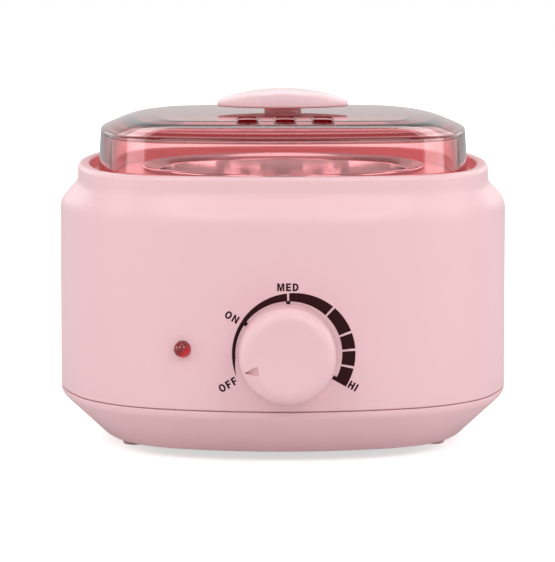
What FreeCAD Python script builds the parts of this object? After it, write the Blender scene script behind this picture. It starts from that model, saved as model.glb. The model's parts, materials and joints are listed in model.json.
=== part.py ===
"""Electric wax warmer: a soft-square moulded housing with a heated well, a lift-out pot and a clear lid.

Frame: the origin is on the surface the feet stand on, under the middle of the pot.
+Z is up, the control panel faces -Y and +X is to the right of someone facing it.
Lengths are in millimetres. The pot and the thermostat set the size of everything around them.
"""
import FreeCAD, Part
import math
import os

V = FreeCAD.Vector
TOUCH = 1e-3               # two heights nearer than this are the same

# ---- Clearances ----
SEAT_GAP = 0.3             # under a piece that lifts off
RUNNING_FIT = 0.05         # shaft in its bush
HOLE_PLAY = 0.2            # a fixed piece in its hole
POT_CLEARANCE = 1.3        # pot wall to well wall
POT_FLOOR_GAP = 0.5
LID_CLEARANCE = 3.4        # lid wall to rim
CONTROL_SPACE = 7.0        # insulation to the back of the thermostat
LID_MARGIN = 14.4          # pot flange to the inside of the lid

# ---- Pot ----
POT_MOUTH_RADIUS = 50.0
POT_TAPER = 2.0            # mouth radius less foot radius
POT_DEPTH = 62.0
POT_WALL = 0.9
POT_CORNER = 8.0
POT_FLANGE_WIDTH = 8.0
POT_HEM_WIDTH = 2.2
POT_HEM_DEPTH = 0.8

# ---- Screws: one size of pan-head screw throughout ----
SCREW_RADIUS = 1.6
SCREW_HEAD_RADIUS = 3.1
SCREW_HEAD_HEIGHT = 2.0
SCREW_SLOT = 0.5

# ---- Heated well ----
WELL_WALL = 1.2
WELL_FLANGE_MARGIN = 0.4   # flange beyond its screw heads
WELL_SCREWS = 3
WELL_SCREW_TURN = 30.0     # first screw, from +X towards +Y
GASKET_THICKNESS = 1.2
BAND_THICKNESS = 1.6
BAND_RISE = 8.0            # floor of the well to the band
BAND_DROP = 16.4           # flange of the well to the band
BAND_SPLIT = 7.0
EAR_LENGTH = 9.0
EAR_WIDTH = 14.0
EAR_BOLT_REACH = 5.4
WRAP_THICKNESS = 3.0
WRAP_WINDOW = 24.0
FUSE_RADIUS = 2.0
FUSE_LENGTH = 11.0
FUSE_WIRE_RADIUS = 0.6
FUSE_WIRE_LENGTH = 33.0
FUSE_X = 24.0
CLIP_THICKNESS = 0.8
CLIP_WIDTH = 6.0
CLIP_FOOT = 5.0

# ---- Housing and base, from the feet up ----
WALL = 2.6
BODY_SIDE_RADIUS = 130.0
BODY_CORNER_RADIUS = 60.0
FOOT_HEIGHT = 4.0
BASE_DEPTH = 18.3          # underside of the base to the seam
BASE_BAND = 2.6            # upright band of the base below the seam
BASE_TAPER = 17.0          # how far the underside is drawn in from the body
BAND_ROUND = 4.0
FLOOR_ROUND = 2.0
SEAM_GAP = 0.5             # shadow gap between base and housing
SEAM_LAND = 1.2            # how far inside the skin the two shells meet
WALL_HEIGHT = 74.3         # seam to the start of the shoulder
SHOULDER_RISE = 8.0
SHOULDER_ROUND = 8.0
RIM_HEIGHT = 7.2
RIM_WIDTH = 4.8
RIM_FOOT_ROUND = 5.0
RIM_TOP_ROUND = 2.0
RIM_INNER_ROUND = 1.0
DECK_DEPTH = 5.0           # rim top down to the deck the lid stands on

# ---- Knob and thermostat ----
CONTROL_RISE = 22.9        # seam to the middle of the knob
KNOB_RADIUS = 18.4
KNOB_FOOT_FLARE = 0.4
KNOB_HEIGHT = 15.0
KNOB_EDGE = 4.8
KNOB_WALL = 2.2
KNOB_STANDOFF = 1.0
KNOB_DISH = 0.7
HUB_RADIUS = 5.6
HUB_CLEARANCE = 1.0        # end of the bush to the hub
POINTER_ANGLE = 204.5
POINTER_MARGIN = 2.8       # edge of the knob to the pointer's tip
POINTER_LENGTH = 4.4
POINTER_WIDTH = 4.2
POINTER_DEPTH = 1.2
SHAFT_RADIUS = 3.0
SHAFT_FLAT = 1.3
SHAFT_ENTRY = 3.0          # how far the shaft runs into the thermostat
BUSH_RADIUS = 5.0
BUSH_PROUD = 3.4
NUT_RADIUS = 7.6
NUT_THICKNESS = 2.2
PAD_RADIUS = 13.0
PAD_DEPTH = 2.0
PLATE_WIDTH = 34.0
PLATE_HEIGHT = 26.0
PLATE_THICKNESS = 1.2
THERMOSTAT_WIDTH = 28.0
THERMOSTAT_HEIGHT = 22.0
THERMOSTAT_DEPTH = 18.0
TAB_LENGTH = 8.0
TAB_WIDTH = 6.4
TAB_THICKNESS = 0.6
TAB_INSET = 6.0            # back of the thermostat to its tabs
STRAP_WIDTH = 12.0
STRAP_THICKNESS = 1.2
STRAP_REACH = 26.0

# ---- Indicator lamp ----
LAMP_OFFSET = -40.0
LAMP_RISE = 23.5           # seam to the middle of the lens
LENS_RADIUS = 3.1
LENS_PROUD = 1.0
LENS_DEPTH = 7.0
HOLDER_WALL = 1.2
HOLDER_LENGTH = 14.0
NEON_RADIUS = 1.9
NEON_TIP = 1.0             # bevel round the end of the neon tube
NEON_DEPTH = 1.5           # panel to the tip of the neon tube

# ---- Mains inlet at the rear ----
INLET_RISE = 15.7          # seam to the middle of the inlet
INLET_WIDTH = 17.0
INLET_TALL = 9.6
INLET_DEPTH = 14.0
INLET_WALL = 1.6
INLET_FLANGE = 4.5
INLET_FLANGE_THICKNESS = 1.6
INLET_SEAT_MARGIN = 2.2
PIN_RADIUS = 1.2
PIN_SPACING = 8.6
PIN_INSET = 1.5
PIN_TAIL = 8.0

# ---- Inside the base ----
PILLAR_WALL = 0.9          # round the recess of a screw head
PILLAR_GAP = 1.4           # well flange to a pillar
PILLAR_FOOT = 4.0          # the pillars end this far above the seam
RIB_THICKNESS = 1.8
SCREW_BITE = 12.0
SCREW_SINK = 7.0
FOOT_RADIUS = 5.0
FOOT_TAPER = 0.6
FOOT_INSET = 1.0
FOOT_MARGIN = 8.0          # edge of the underside to a foot
FOOT_Y = 25.0
VENT_ROWS = 7
VENT_PITCH = 8.0
VENT_WIDTH = 2.6
VENT_LENGTH = 34.0
BLOCK_LENGTH = 34.0
BLOCK_WIDTH = 14.0
BLOCK_HEIGHT = 12.0
BLOCK_MARGIN = 11.4
BLOCK_WAYS = 3
BLOCK_SCREW_RADIUS = 2.0
BLOCK_SCREW_LENGTH = 4.0

# ---- Lid ----
LID_SIDE_RADIUS = 190.0
LID_CORNER_RADIUS = 34.0
LID_WALL_HEIGHT = 18.5     # foot to the edge of the bevel
LID_DRAFT = 1.2
LID_BEVEL_WIDTH = 10.0     # steep facet above the edge
LID_BEVEL_RISE = 4.3
LID_SLOPE_WIDTH = 11.0     # shallow facet from the bevel to the crease
LID_SLOPE_RISE = 1.4
LID_CROWN_RISE = 0.5
LID_WALL = 2.2
LID_EDGE_ROUND = 1.0
LID_BEND_ROUND = 30.0      # between the two facets
LID_CREASE_ROUND = 7.0
SLOT_WIDTH = 7.3
SLOT_LENGTH = 12.0
SLOT_PITCH = 14.7
SLOT_CORNER = 3.0
SLOT_INSET = 24.0          # side of the lid to the middle of the slots
SLOTS = 3
HANDLE_LENGTH = 54.0
HANDLE_DEPTH = 27.0
HANDLE_HEIGHT = 7.0
HANDLE_TIP = 3.4           # thickness at the two ends
HANDLE_TIP_ROUND = 2.5
HANDLE_ROUND = 1.8
NECK_LENGTH = 15.0
NECK_DEPTH = 9.0
NECK_HEIGHT = 1.8
NECK_BITE = 1.7            # how far the neck runs up into the handle
HANDLE_SCREW_GAP = 1.8     # between the two screw heads

# ---- Radii of the pot and the well ----
POT_FOOT_RADIUS = POT_MOUTH_RADIUS - POT_TAPER
POT_FLANGE_RADIUS = POT_MOUTH_RADIUS + POT_FLANGE_WIDTH
WELL_MOUTH_RADIUS = POT_MOUTH_RADIUS + POT_WALL + POT_CLEARANCE
WELL_FOOT_RADIUS = POT_FOOT_RADIUS + POT_WALL + POT_CLEARANCE
WELL_OUTER_RADIUS = WELL_MOUTH_RADIUS + WELL_WALL
WELL_SCREW_PLACE = WELL_OUTER_RADIUS + SCREW_HEAD_RADIUS + HOLE_PLAY
WELL_FLANGE_RADIUS = WELL_SCREW_PLACE + SCREW_HEAD_RADIUS + WELL_FLANGE_MARGIN
BAND_OUTER_RADIUS = WELL_OUTER_RADIUS + BAND_THICKNESS
WRAP_OUTER_RADIUS = BAND_OUTER_RADIUS + WRAP_THICKNESS
EAR_BOLT_Y = WELL_OUTER_RADIUS + EAR_BOLT_REACH

# ---- Plan shapes: half width across the flats, radius of a side, radius of a corner ----
CONTROL_STACK = STRAP_THICKNESS + THERMOSTAT_DEPTH + PLATE_THICKNESS + PAD_DEPTH + WALL
BODY_HALF = WRAP_OUTER_RADIUS + CONTROL_SPACE + CONTROL_STACK
LID_HALF = POT_FLANGE_RADIUS + LID_MARGIN + LID_WALL
BODY = (BODY_HALF, BODY_SIDE_RADIUS, BODY_CORNER_RADIUS)
LID = (LID_HALF, LID_SIDE_RADIUS, LID_CORNER_RADIUS)
RIM_GROW = LID_CLEARANCE + RIM_WIDTH

# ---- Heights ----
FLOOR_Z = FOOT_HEIGHT
INSIDE_FLOOR_Z = FLOOR_Z + WALL
SEAM_Z = FLOOR_Z + BASE_DEPTH
BAND_Z = SEAM_Z - BASE_BAND
SHOULDER_Z = SEAM_Z + WALL_HEIGHT
RIM_FOOT_Z = SHOULDER_Z + SHOULDER_RISE
RIM_TOP_Z = RIM_FOOT_Z + RIM_HEIGHT
DECK_Z = RIM_TOP_Z - DECK_DEPTH
CEILING_Z = DECK_Z - WALL
CONTROL_Z = SEAM_Z + CONTROL_RISE
LAMP_Z = SEAM_Z + LAMP_RISE
INLET_Z = SEAM_Z + INLET_RISE
POT_HEM_Z = DECK_Z + SEAT_GAP
POT_TOP_Z = POT_HEM_Z + POT_HEM_DEPTH + POT_WALL
POT_FLOOR_Z = POT_TOP_Z - POT_DEPTH
WELL_FLOOR_Z = POT_FLOOR_Z - POT_WALL - POT_FLOOR_GAP
WELL_UNDER_Z = WELL_FLOOR_Z - WELL_WALL
WELL_FLANGE_Z = CEILING_Z - GASKET_THICKNESS - WELL_WALL
HEAT_BAND_Z = WELL_FLOOR_Z + BAND_RISE
HEAT_BAND_WIDTH = WELL_FLANGE_Z - BAND_DROP - HEAT_BAND_Z
LID_FOOT_Z = DECK_Z + SEAT_GAP
LID_EDGE_Z = LID_FOOT_Z + LID_WALL_HEIGHT
LID_BEND_Z = LID_EDGE_Z + LID_BEVEL_RISE
LID_TOP_Z = LID_BEND_Z + LID_SLOPE_RISE
CROWN_Z = LID_TOP_Z + LID_CROWN_RISE
HANDLE_Z = CROWN_Z + NECK_HEIGHT

# ---- Distances out from the panel, and places on the base ----
PANEL_BACK = WALL + PAD_DEPTH
THERMOSTAT_BACK = PANEL_BACK + PLATE_THICKNESS + THERMOSTAT_DEPTH
THERMOSTAT_Y = THERMOSTAT_BACK - BODY_HALF
KNOB_FACE = KNOB_STANDOFF + KNOB_HEIGHT
KNOB_CEILING = KNOB_FACE - KNOB_WALL - KNOB_DISH
SHAFT_TIP = KNOB_CEILING - SEAT_GAP
PILLAR_RADIUS = SCREW_HEAD_RADIUS + HOLE_PLAY + PILLAR_WALL
PILLAR_PLACE = (WELL_FLANGE_RADIUS + PILLAR_GAP + PILLAR_RADIUS) * math.sqrt(0.5)
PILLAR_FOOT_Z = SEAM_Z + PILLAR_FOOT
FOOT_X = BODY_HALF - BASE_TAPER - FOOT_MARGIN - FOOT_RADIUS
BLOCK_Y = BODY_HALF - BASE_TAPER - WALL - BLOCK_MARGIN - BLOCK_WIDTH / 2
HANDLE_SCREW_X = SCREW_HEAD_RADIUS + HANDLE_SCREW_GAP / 2
SIDES = (-1, 1)
FOOT_PLACES = [(x * FOOT_X, y * FOOT_Y) for x in SIDES for y in SIDES]
PILLAR_PLACES = [(x * PILLAR_PLACE, y * PILLAR_PLACE) for x in SIDES for y in SIDES]


# ---- Building blocks ----
def plan_wire(plan, grow, z):
    """Soft-square outline at height z, grown all round: four side arcs joined by four corner arcs."""
    half, side, corner = (size + grow for size in plan)
    set_back = side - half
    reach = side - corner
    centre = (math.sqrt(2 * reach ** 2 - set_back ** 2) - set_back) / 2
    along = side / reach
    joint = V(along * (centre + set_back) - set_back, along * centre, z)
    tip = centre + corner * math.sqrt(0.5)
    quarter = [V(joint.x, -joint.y, z), V(half, 0, z), joint, V(tip, tip, z), V(joint.y, joint.x, z)]
    edges = []
    for turn in range(4):
        spin = FreeCAD.Rotation(V(0, 0, 1), 90 * turn)
        a, b, c, d, e = [spin.multVec(point) for point in quarter]
        edges.append(Part.Arc(a, b, c).toShape())
        edges.append(Part.Arc(c, d, e).toShape())
    return Part.Wire(edges)


def plan_slab(plan, grow, low, high):
    return Part.Face(plan_wire(plan, grow, low)).extrude(V(0, 0, high - low))


def plan_taper(lower, lower_grow, low, upper, upper_grow, high):
    sections = [plan_wire(lower, lower_grow, low), plan_wire(upper, upper_grow, high)]
    return Part.makeLoft(sections, True, True)


def disc(radius, low, high, x=0.0, y=0.0):
    return Part.makeCylinder(radius, high - low, V(x, y, low))


def rod(radius, start, along):
    """Cylinder from the point start, as long as the vector along and pointing its way."""
    return Part.makeCylinder(radius, along.Length, start, along)


def ring(outer, inner, low, high):
    return disc(outer, low, high).cut(disc(inner, low, high))


def block(width, depth, height, x, y, low):
    """Box centred on x and y, standing on the height low."""
    return Part.makeBox(width, depth, height, V(x - width / 2, y - depth / 2, low))


def stadium(length, width, low, high, x=0.0, y=0.0):
    """Upright prism with half-round ends, long along Y."""
    run = length - width
    body = block(width, run, high - low, x, y, low)
    ends = [disc(width / 2, low, high, x, y + side * run / 2) for side in SIDES]
    return body.fuse(ends).removeSplitter()


def hexagon(radius, thickness):
    turns = [math.radians(60 * count) for count in range(7)]
    corners = [V(radius * math.cos(turn), radius * math.sin(turn), 0) for turn in turns]
    return Part.Face(Part.makePolygon(corners)).extrude(V(0, 0, thickness))


def edges_at(shape, z):
    """Edges that lie wholly at height z."""
    boxes = [(edge, edge.BoundBox) for edge in shape.Edges]
    return [edge for edge, box in boxes if abs(box.ZMin - z) < TOUCH and abs(box.ZMax - z) < TOUCH]


def upright_edges(shape):
    boxes = [(edge, edge.BoundBox) for edge in shape.Edges]
    return [edge for edge, box in boxes if box.XLength < TOUCH and box.YLength < TOUCH]


def level_edges(shape, low, high):
    """Edges within the height range that run round the shape and not up it."""
    near = [edge for edge in shape.Edges if edge.BoundBox.ZMin > low and edge.BoundBox.ZMax < high]
    return [edge for edge in near if edge.BoundBox.ZLength < (high - low) / 2]


def rounded(shape, z, radius):
    return shape.makeFillet(radius, edges_at(shape, z))


def chamfered(shape, z, size):
    return shape.makeChamfer(size, edges_at(shape, z))


def on_front(shape, z):
    """Turn a piece modelled looking down on it so that its top faces -Y, standing on the panel."""
    turned = shape.copy()
    turned.rotate(V(0, 0, 0), V(1, 0, 0), 90)
    turned.translate(V(0, -BODY_HALF, z))
    return turned


def on_inlet_seat(shape):
    """The same for the seat of the mains inlet, facing +Y."""
    turned = shape.copy()
    turned.rotate(V(0, 0, 0), V(1, 0, 0), -90)
    turned.translate(V(0, BODY_HALF - INLET_FLANGE_THICKNESS, INLET_Z))
    return turned


def at_lamp(shape):
    """Swing a piece built at the middle of the panel round the panel's curve to the lamp."""
    placed = on_front(shape, LAMP_Z)
    swing = math.degrees(math.asin(LAMP_OFFSET / BODY_SIDE_RADIUS))
    placed.rotate(V(0, BODY_SIDE_RADIUS - BODY_HALF, 0), V(0, 0, 1), swing)
    return placed


def cup_form(mouth, foot, low, high, corner):
    """Filled bucket shape with a rounded bottom edge."""
    body = Part.makeCone(foot, mouth, high - low, V(0, 0, low))
    return rounded(body, low, corner)


def together(shapes):
    return Part.makeCompound(list(shapes))


def screw(head_z, tip_z, x, y):
    """Pan-head screw driven upwards, its head below head_z."""
    crown_z = head_z - SCREW_HEAD_HEIGHT
    head = chamfered(disc(SCREW_HEAD_RADIUS, crown_z, head_z, x, y), crown_z, SCREW_HEAD_HEIGHT / 3)
    slot = block(SCREW_HEAD_RADIUS, SCREW_SLOT, SCREW_HEAD_HEIGHT / 2, x, y, crown_z)
    cross = block(SCREW_SLOT, SCREW_HEAD_RADIUS, SCREW_HEAD_HEIGHT / 2, x, y, crown_z)
    return head.fuse(disc(SCREW_RADIUS, head_z, tip_z, x, y)).cut([slot, cross])


# ---- Housing and base ----
def housing_form():
    form = plan_slab(BODY, 0, SEAM_Z, SHOULDER_Z)
    form = form.fuse(plan_taper(BODY, 0, SHOULDER_Z, LID, RIM_GROW, RIM_FOOT_Z))
    form = form.fuse(plan_slab(LID, RIM_GROW, RIM_FOOT_Z, RIM_TOP_Z)).removeSplitter()
    form = rounded(form, SHOULDER_Z, SHOULDER_ROUND)
    form = rounded(form, RIM_FOOT_Z, RIM_FOOT_ROUND)
    return rounded(form, RIM_TOP_Z, RIM_TOP_ROUND)


def housing_hollow():
    hollow = plan_slab(BODY, -WALL, SEAM_Z, SHOULDER_Z)
    roof = plan_taper(BODY, -WALL, SHOULDER_Z, LID, RIM_GROW - WALL, CEILING_Z)
    return hollow.fuse(roof)


def pillars(hollow):
    """Screw pillars hanging from the ceiling, each webbed to its corner."""
    posts = []
    for x, y in PILLAR_PLACES:
        posts.append(disc(PILLAR_RADIUS, PILLAR_FOOT_Z, CEILING_Z, x, y))
        rib = block(BODY_HALF, RIB_THICKNESS, CEILING_Z - PILLAR_FOOT_Z, BODY_HALF / 2, 0, PILLAR_FOOT_Z)
        rib.rotate(V(0, 0, 0), V(0, 0, 1), math.degrees(math.atan2(y, x)))
        rib.translate(V(x, y, 0))
        posts.append(rib.common(hollow))
    return posts


def inlet_seat():
    """Flat thickening of the rear wall behind the flange of the inlet."""
    margin = 2 * (INLET_FLANGE + INLET_SEAT_MARGIN)
    return on_inlet_seat(block(INLET_WIDTH + margin, INLET_TALL + margin, WALL, 0, 0, -WALL))


def upper_housing():
    hollow = housing_hollow()
    shell = housing_form().cut(hollow)
    shell = shell.cut(plan_slab(LID, LID_CLEARANCE, DECK_Z, RIM_TOP_Z + WALL))
    rim_middle = LID_HALF + LID_CLEARANCE + (RIM_WIDTH - RIM_TOP_ROUND) / 2
    inner_rim = [edge for edge in edges_at(shell, RIM_TOP_Z) if edge.BoundBox.XMax < rim_middle]
    shell = shell.makeFillet(RIM_INNER_ROUND, inner_rim)
    shell = shell.cut(disc(WELL_MOUTH_RADIUS, CEILING_Z, DECK_Z))
    pad = on_front(disc(PAD_RADIUS, -PANEL_BACK, -WALL / 2), CONTROL_Z)
    shell = shell.fuse([pad, inlet_seat()] + pillars(hollow)).removeSplitter()
    shell = shell.cut(on_front(disc(BUSH_RADIUS + HOLE_PLAY, -PANEL_BACK, WALL), CONTROL_Z))
    shell = shell.cut(at_lamp(disc(LENS_RADIUS + HOLE_PLAY, -2 * WALL, WALL)))
    shell = shell.cut(on_inlet_seat(inlet_outline(INLET_FLANGE + HOLE_PLAY, 0, WALL)))
    shell = shell.cut(on_inlet_seat(inlet_outline(HOLE_PLAY, -2 * WALL, WALL)))
    for x, y in PILLAR_PLACES:
        shell = shell.cut(disc(SCREW_RADIUS, PILLAR_FOOT_Z, PILLAR_FOOT_Z + SCREW_BITE + WALL, x, y))
    for x, y in well_screw_places():
        shell = shell.cut(disc(SCREW_RADIUS, CEILING_Z, CEILING_Z + WALL / 2, x, y))
    return shell


def base_form():
    """Outside of the base: a dished underside that curls up into the upright band below the seam."""
    above = SEAM_Z + BAND_ROUND
    form = plan_taper(BODY, -BASE_TAPER, FLOOR_Z, BODY, 0, BAND_Z)
    form = form.fuse(plan_slab(BODY, 0, BAND_Z, above)).removeSplitter()
    form = rounded(form, FLOOR_Z, FLOOR_ROUND)
    form = rounded(form, BAND_Z, BAND_ROUND)
    return form.cut(plan_slab(BODY, WALL, SEAM_Z - SEAM_GAP, above + WALL))


def base_cover():
    land = plan_slab(BODY, -SEAM_LAND, SEAM_Z - SEAM_GAP, SEAM_Z)
    hollow = plan_taper(BODY, -BASE_TAPER - WALL, INSIDE_FLOOR_Z, BODY, -WALL, BAND_Z)
    hollow = hollow.fuse(plan_slab(BODY, -WALL, BAND_Z, SEAM_Z))
    shell = base_form().fuse(land).cut(hollow)
    posts = [disc(PILLAR_RADIUS, FLOOR_Z + WALL / 2, PILLAR_FOOT_Z, x, y) for x, y in PILLAR_PLACES]
    shell = shell.fuse(posts)
    for x, y in PILLAR_PLACES:
        shell = shell.cut(disc(SCREW_RADIUS + HOLE_PLAY, FLOOR_Z, PILLAR_FOOT_Z, x, y))
        shell = shell.cut(disc(SCREW_HEAD_RADIUS + HOLE_PLAY, FLOOR_Z, FLOOR_Z + SCREW_SINK, x, y))
    for x, y in FOOT_PLACES:
        shell = shell.cut(disc(FOOT_RADIUS + HOLE_PLAY, FLOOR_Z, FLOOR_Z + FOOT_INSET, x, y))
    for row in range(VENT_ROWS):
        place = (row - (VENT_ROWS - 1) / 2) * VENT_PITCH
        shell = shell.cut(stadium(VENT_LENGTH, VENT_WIDTH, FLOOR_Z, INSIDE_FLOOR_Z, place))
    return shell


def rubber_feet():
    height = FOOT_HEIGHT + FOOT_INSET
    tread = FOOT_RADIUS - FOOT_TAPER
    return together(Part.makeCone(tread, FOOT_RADIUS, height, V(x, y, 0)) for x, y in FOOT_PLACES)


def base_screws():
    low = FLOOR_Z + SCREW_SINK
    return together(screw(low, PILLAR_FOOT_Z + SCREW_BITE, x, y) for x, y in PILLAR_PLACES)


# ---- Heated well ----
def well_screw_places():
    """Evenly round the flange, clear of the control panel and the split of the band."""
    turns = [math.radians(WELL_SCREW_TURN + 360 * count / WELL_SCREWS) for count in range(WELL_SCREWS)]
    return [(WELL_SCREW_PLACE * math.cos(turn), WELL_SCREW_PLACE * math.sin(turn)) for turn in turns]


def with_screw_holes(shape, low, high):
    return shape.cut([disc(SCREW_RADIUS + HOLE_PLAY, low, high, x, y) for x, y in well_screw_places()])


def heating_well():
    top = WELL_FLANGE_Z + WELL_WALL
    outer_foot = WELL_FOOT_RADIUS + WELL_WALL
    outside = cup_form(WELL_OUTER_RADIUS, outer_foot, WELL_UNDER_Z, top, POT_CORNER + WELL_WALL)
    inside = cup_form(WELL_MOUTH_RADIUS, WELL_FOOT_RADIUS, WELL_FLOOR_Z, top, POT_CORNER)
    flange = disc(WELL_FLANGE_RADIUS, WELL_FLANGE_Z, top)
    return with_screw_holes(outside.fuse(flange).cut(inside), WELL_FLANGE_Z, top)


def well_gasket():
    low = CEILING_Z - GASKET_THICKNESS
    return with_screw_holes(ring(WELL_FLANGE_RADIUS, WELL_MOUTH_RADIUS, low, CEILING_Z), low, CEILING_Z)


def well_screws():
    return together(screw(WELL_FLANGE_Z, CEILING_Z + WALL / 3, x, y) for x, y in well_screw_places())


def band_sleeve(inner, outer):
    """Sleeve that follows the well's slight taper over the height of the band."""
    top = WELL_FLANGE_Z + WELL_WALL
    fall = POT_TAPER / (top - WELL_UNDER_Z)
    low_step = (top - HEAT_BAND_Z) * fall
    high_step = (top - HEAT_BAND_Z - HEAT_BAND_WIDTH) * fall
    foot = V(0, 0, HEAT_BAND_Z)
    skin = Part.makeCone(outer - low_step, outer - high_step, HEAT_BAND_WIDTH, foot)
    core = Part.makeCone(inner - low_step, inner - high_step, HEAT_BAND_WIDTH, foot)
    return skin.cut(core)


def band_heater():
    """Split mica band with two ears turned out at the rear."""
    split = block(BAND_SPLIT, BAND_OUTER_RADIUS, HEAT_BAND_WIDTH, 0, BAND_OUTER_RADIUS, HEAT_BAND_Z)
    band = band_sleeve(WELL_OUTER_RADIUS, BAND_OUTER_RADIUS).cut(split)
    middle = HEAT_BAND_Z + HEAT_BAND_WIDTH / 2
    ear_y = WELL_OUTER_RADIUS + EAR_LENGTH / 2
    for side in SIDES:
        x = side * (BAND_SPLIT + BAND_THICKNESS) / 2
        ear = block(BAND_THICKNESS, EAR_LENGTH, EAR_WIDTH, x, ear_y, middle - EAR_WIDTH / 2)
        ear = ear.cut(disc(WELL_OUTER_RADIUS, HEAT_BAND_Z, HEAT_BAND_Z + HEAT_BAND_WIDTH))
        band = band.fuse(ear)
    across = V(2 * (BAND_SPLIT + BAND_THICKNESS), 0, 0)
    return band.cut(rod(SCREW_RADIUS, V(0, EAR_BOLT_Y, middle) - across / 2, across))


def band_clamp():
    """Bolt, head and nut that draw the ears of the band together."""
    middle = V(0, EAR_BOLT_Y, HEAT_BAND_Z + HEAT_BAND_WIDTH / 2)
    ear_face = V(BAND_SPLIT / 2 + BAND_THICKNESS, 0, 0)
    head_depth = V(SCREW_HEAD_HEIGHT, 0, 0)
    shank = rod(SCREW_RADIUS, middle - ear_face - head_depth / 2, 2 * ear_face + head_depth)
    head = rod(SCREW_HEAD_RADIUS, middle + ear_face, head_depth)
    nut = hexagon(SCREW_HEAD_RADIUS, SCREW_HEAD_HEIGHT)
    nut.rotate(V(0, 0, 0), V(0, 1, 0), -90)
    nut.translate(middle - ear_face)
    return shank.fuse([head, nut])


def insulation_wrap():
    """Felt sleeve over the band, open at the rear for the ears."""
    wrap = band_sleeve(BAND_OUTER_RADIUS, WRAP_OUTER_RADIUS)
    window = block(WRAP_WINDOW, BAND_OUTER_RADIUS, HEAT_BAND_WIDTH, 0, BAND_OUTER_RADIUS, HEAT_BAND_Z)
    return wrap.cut(window)


def thermal_fuse():
    axis_z = WELL_UNDER_Z - FUSE_RADIUS
    body = rod(FUSE_RADIUS, V(FUSE_X, -FUSE_LENGTH / 2, axis_z), V(0, FUSE_LENGTH, 0))
    wire = rod(FUSE_WIRE_RADIUS, V(FUSE_X, -FUSE_WIRE_LENGTH / 2, axis_z), V(0, FUSE_WIRE_LENGTH, 0))
    return body.fuse(wire)


def fuse_clip():
    """Strap that hugs the fuse, with a flat foot on each side held to the well."""
    axis_z = WELL_UNDER_Z - FUSE_RADIUS
    outer = FUSE_RADIUS + CLIP_THICKNESS
    start = V(FUSE_X, -CLIP_WIDTH / 2, axis_z)
    across = V(0, CLIP_WIDTH, 0)
    cheeks = block(2 * outer, CLIP_WIDTH, FUSE_RADIUS, FUSE_X, 0, axis_z)
    foot_span = 2 * (FUSE_RADIUS + CLIP_FOOT)
    feet = block(foot_span, CLIP_WIDTH, CLIP_THICKNESS, FUSE_X, 0, WELL_UNDER_Z - CLIP_THICKNESS)
    gap = block(2 * FUSE_RADIUS, CLIP_WIDTH, FUSE_RADIUS, FUSE_X, 0, axis_z)
    clip = rod(outer, start, across).fuse([cheeks, feet]).cut([rod(FUSE_RADIUS, start, across), gap])
    return clip.common(disc(WELL_FOOT_RADIUS, 0, WELL_UNDER_Z))


# ---- Pot ----
def wax_pot():
    """Spun bucket with a flat flange and a hem folded under its edge."""
    under_z = POT_FLOOR_Z - POT_WALL
    outer_mouth = POT_MOUTH_RADIUS + POT_WALL
    outside = cup_form(outer_mouth, POT_FOOT_RADIUS + POT_WALL, under_z, POT_TOP_Z, POT_CORNER + POT_WALL)
    inside = cup_form(POT_MOUTH_RADIUS, POT_FOOT_RADIUS, POT_FLOOR_Z, POT_TOP_Z, POT_CORNER)
    flange = disc(POT_FLANGE_RADIUS, POT_TOP_Z - POT_WALL, POT_TOP_Z)
    hem = ring(POT_FLANGE_RADIUS, POT_FLANGE_RADIUS - POT_HEM_WIDTH, POT_HEM_Z, POT_TOP_Z)
    pot = outside.fuse([flange, hem]).cut(inside).removeSplitter()
    return chamfered(pot, POT_TOP_Z, POT_WALL / 2)


# ---- Knob and thermostat, modelled looking down on the panel ----
def flatted(radius, low, high):
    """Round bar with a flat along it, for the shaft and for its bore."""
    flat_x = radius - SHAFT_FLAT + radius / 2
    return disc(radius, low, high).cut(block(2 * radius, radius, high - low, 0, flat_x, low))


def thermostat_shaft():
    low = -PANEL_BACK - PLATE_THICKNESS - SHAFT_ENTRY
    shaft = disc(SHAFT_RADIUS, low, BUSH_PROUD).fuse(flatted(SHAFT_RADIUS, BUSH_PROUD, SHAFT_TIP))
    return on_front(shaft, CONTROL_Z)


def knob_cap():
    """Turned cap with a big rounded edge, dished face, hollow back and D-bore hub."""
    foot_radius = KNOB_RADIUS + KNOB_FOOT_FLARE
    foot = V(0, 0, KNOB_STANDOFF)
    cap = Part.makeCone(foot_radius, KNOB_RADIUS, KNOB_HEIGHT, foot)
    cap = rounded(cap, KNOB_FACE, KNOB_EDGE)
    dish_radius = ((KNOB_RADIUS - KNOB_EDGE) ** 2 + KNOB_DISH ** 2) / (2 * KNOB_DISH)
    cap = cap.cut(Part.makeSphere(dish_radius, V(0, 0, KNOB_FACE + dish_radius - KNOB_DISH)))
    depth = KNOB_CEILING - KNOB_STANDOFF
    hollow = Part.makeCone(foot_radius - KNOB_WALL, KNOB_RADIUS - KNOB_WALL, depth, foot)
    cap = cap.cut(hollow)
    hub = disc(HUB_RADIUS, BUSH_PROUD + HUB_CLEARANCE, KNOB_CEILING + KNOB_WALL / 2)
    cap = cap.fuse(hub).removeSplitter()
    cap = cap.cut(flatted(SHAFT_RADIUS + HOLE_PLAY, BUSH_PROUD, SHAFT_TIP + SEAT_GAP))
    return on_front(cap.cut(pointer()), CONTROL_Z)


def pointer():
    """Triangular recess in the knob's face, its tip outwards."""
    reach = KNOB_RADIUS - POINTER_MARGIN
    tip = V(reach, 0, 0)
    corners = [V(reach - POINTER_LENGTH, side * POINTER_WIDTH / 2, 0) for side in SIDES]
    prism = Part.Face(Part.makePolygon([tip] + corners + [tip])).extrude(V(0, 0, KNOB_DISH + POINTER_DEPTH))
    prism.translate(V(0, 0, KNOB_FACE - POINTER_DEPTH))
    prism.rotate(V(0, 0, 0), V(0, 0, 1), POINTER_ANGLE)
    return prism


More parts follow.
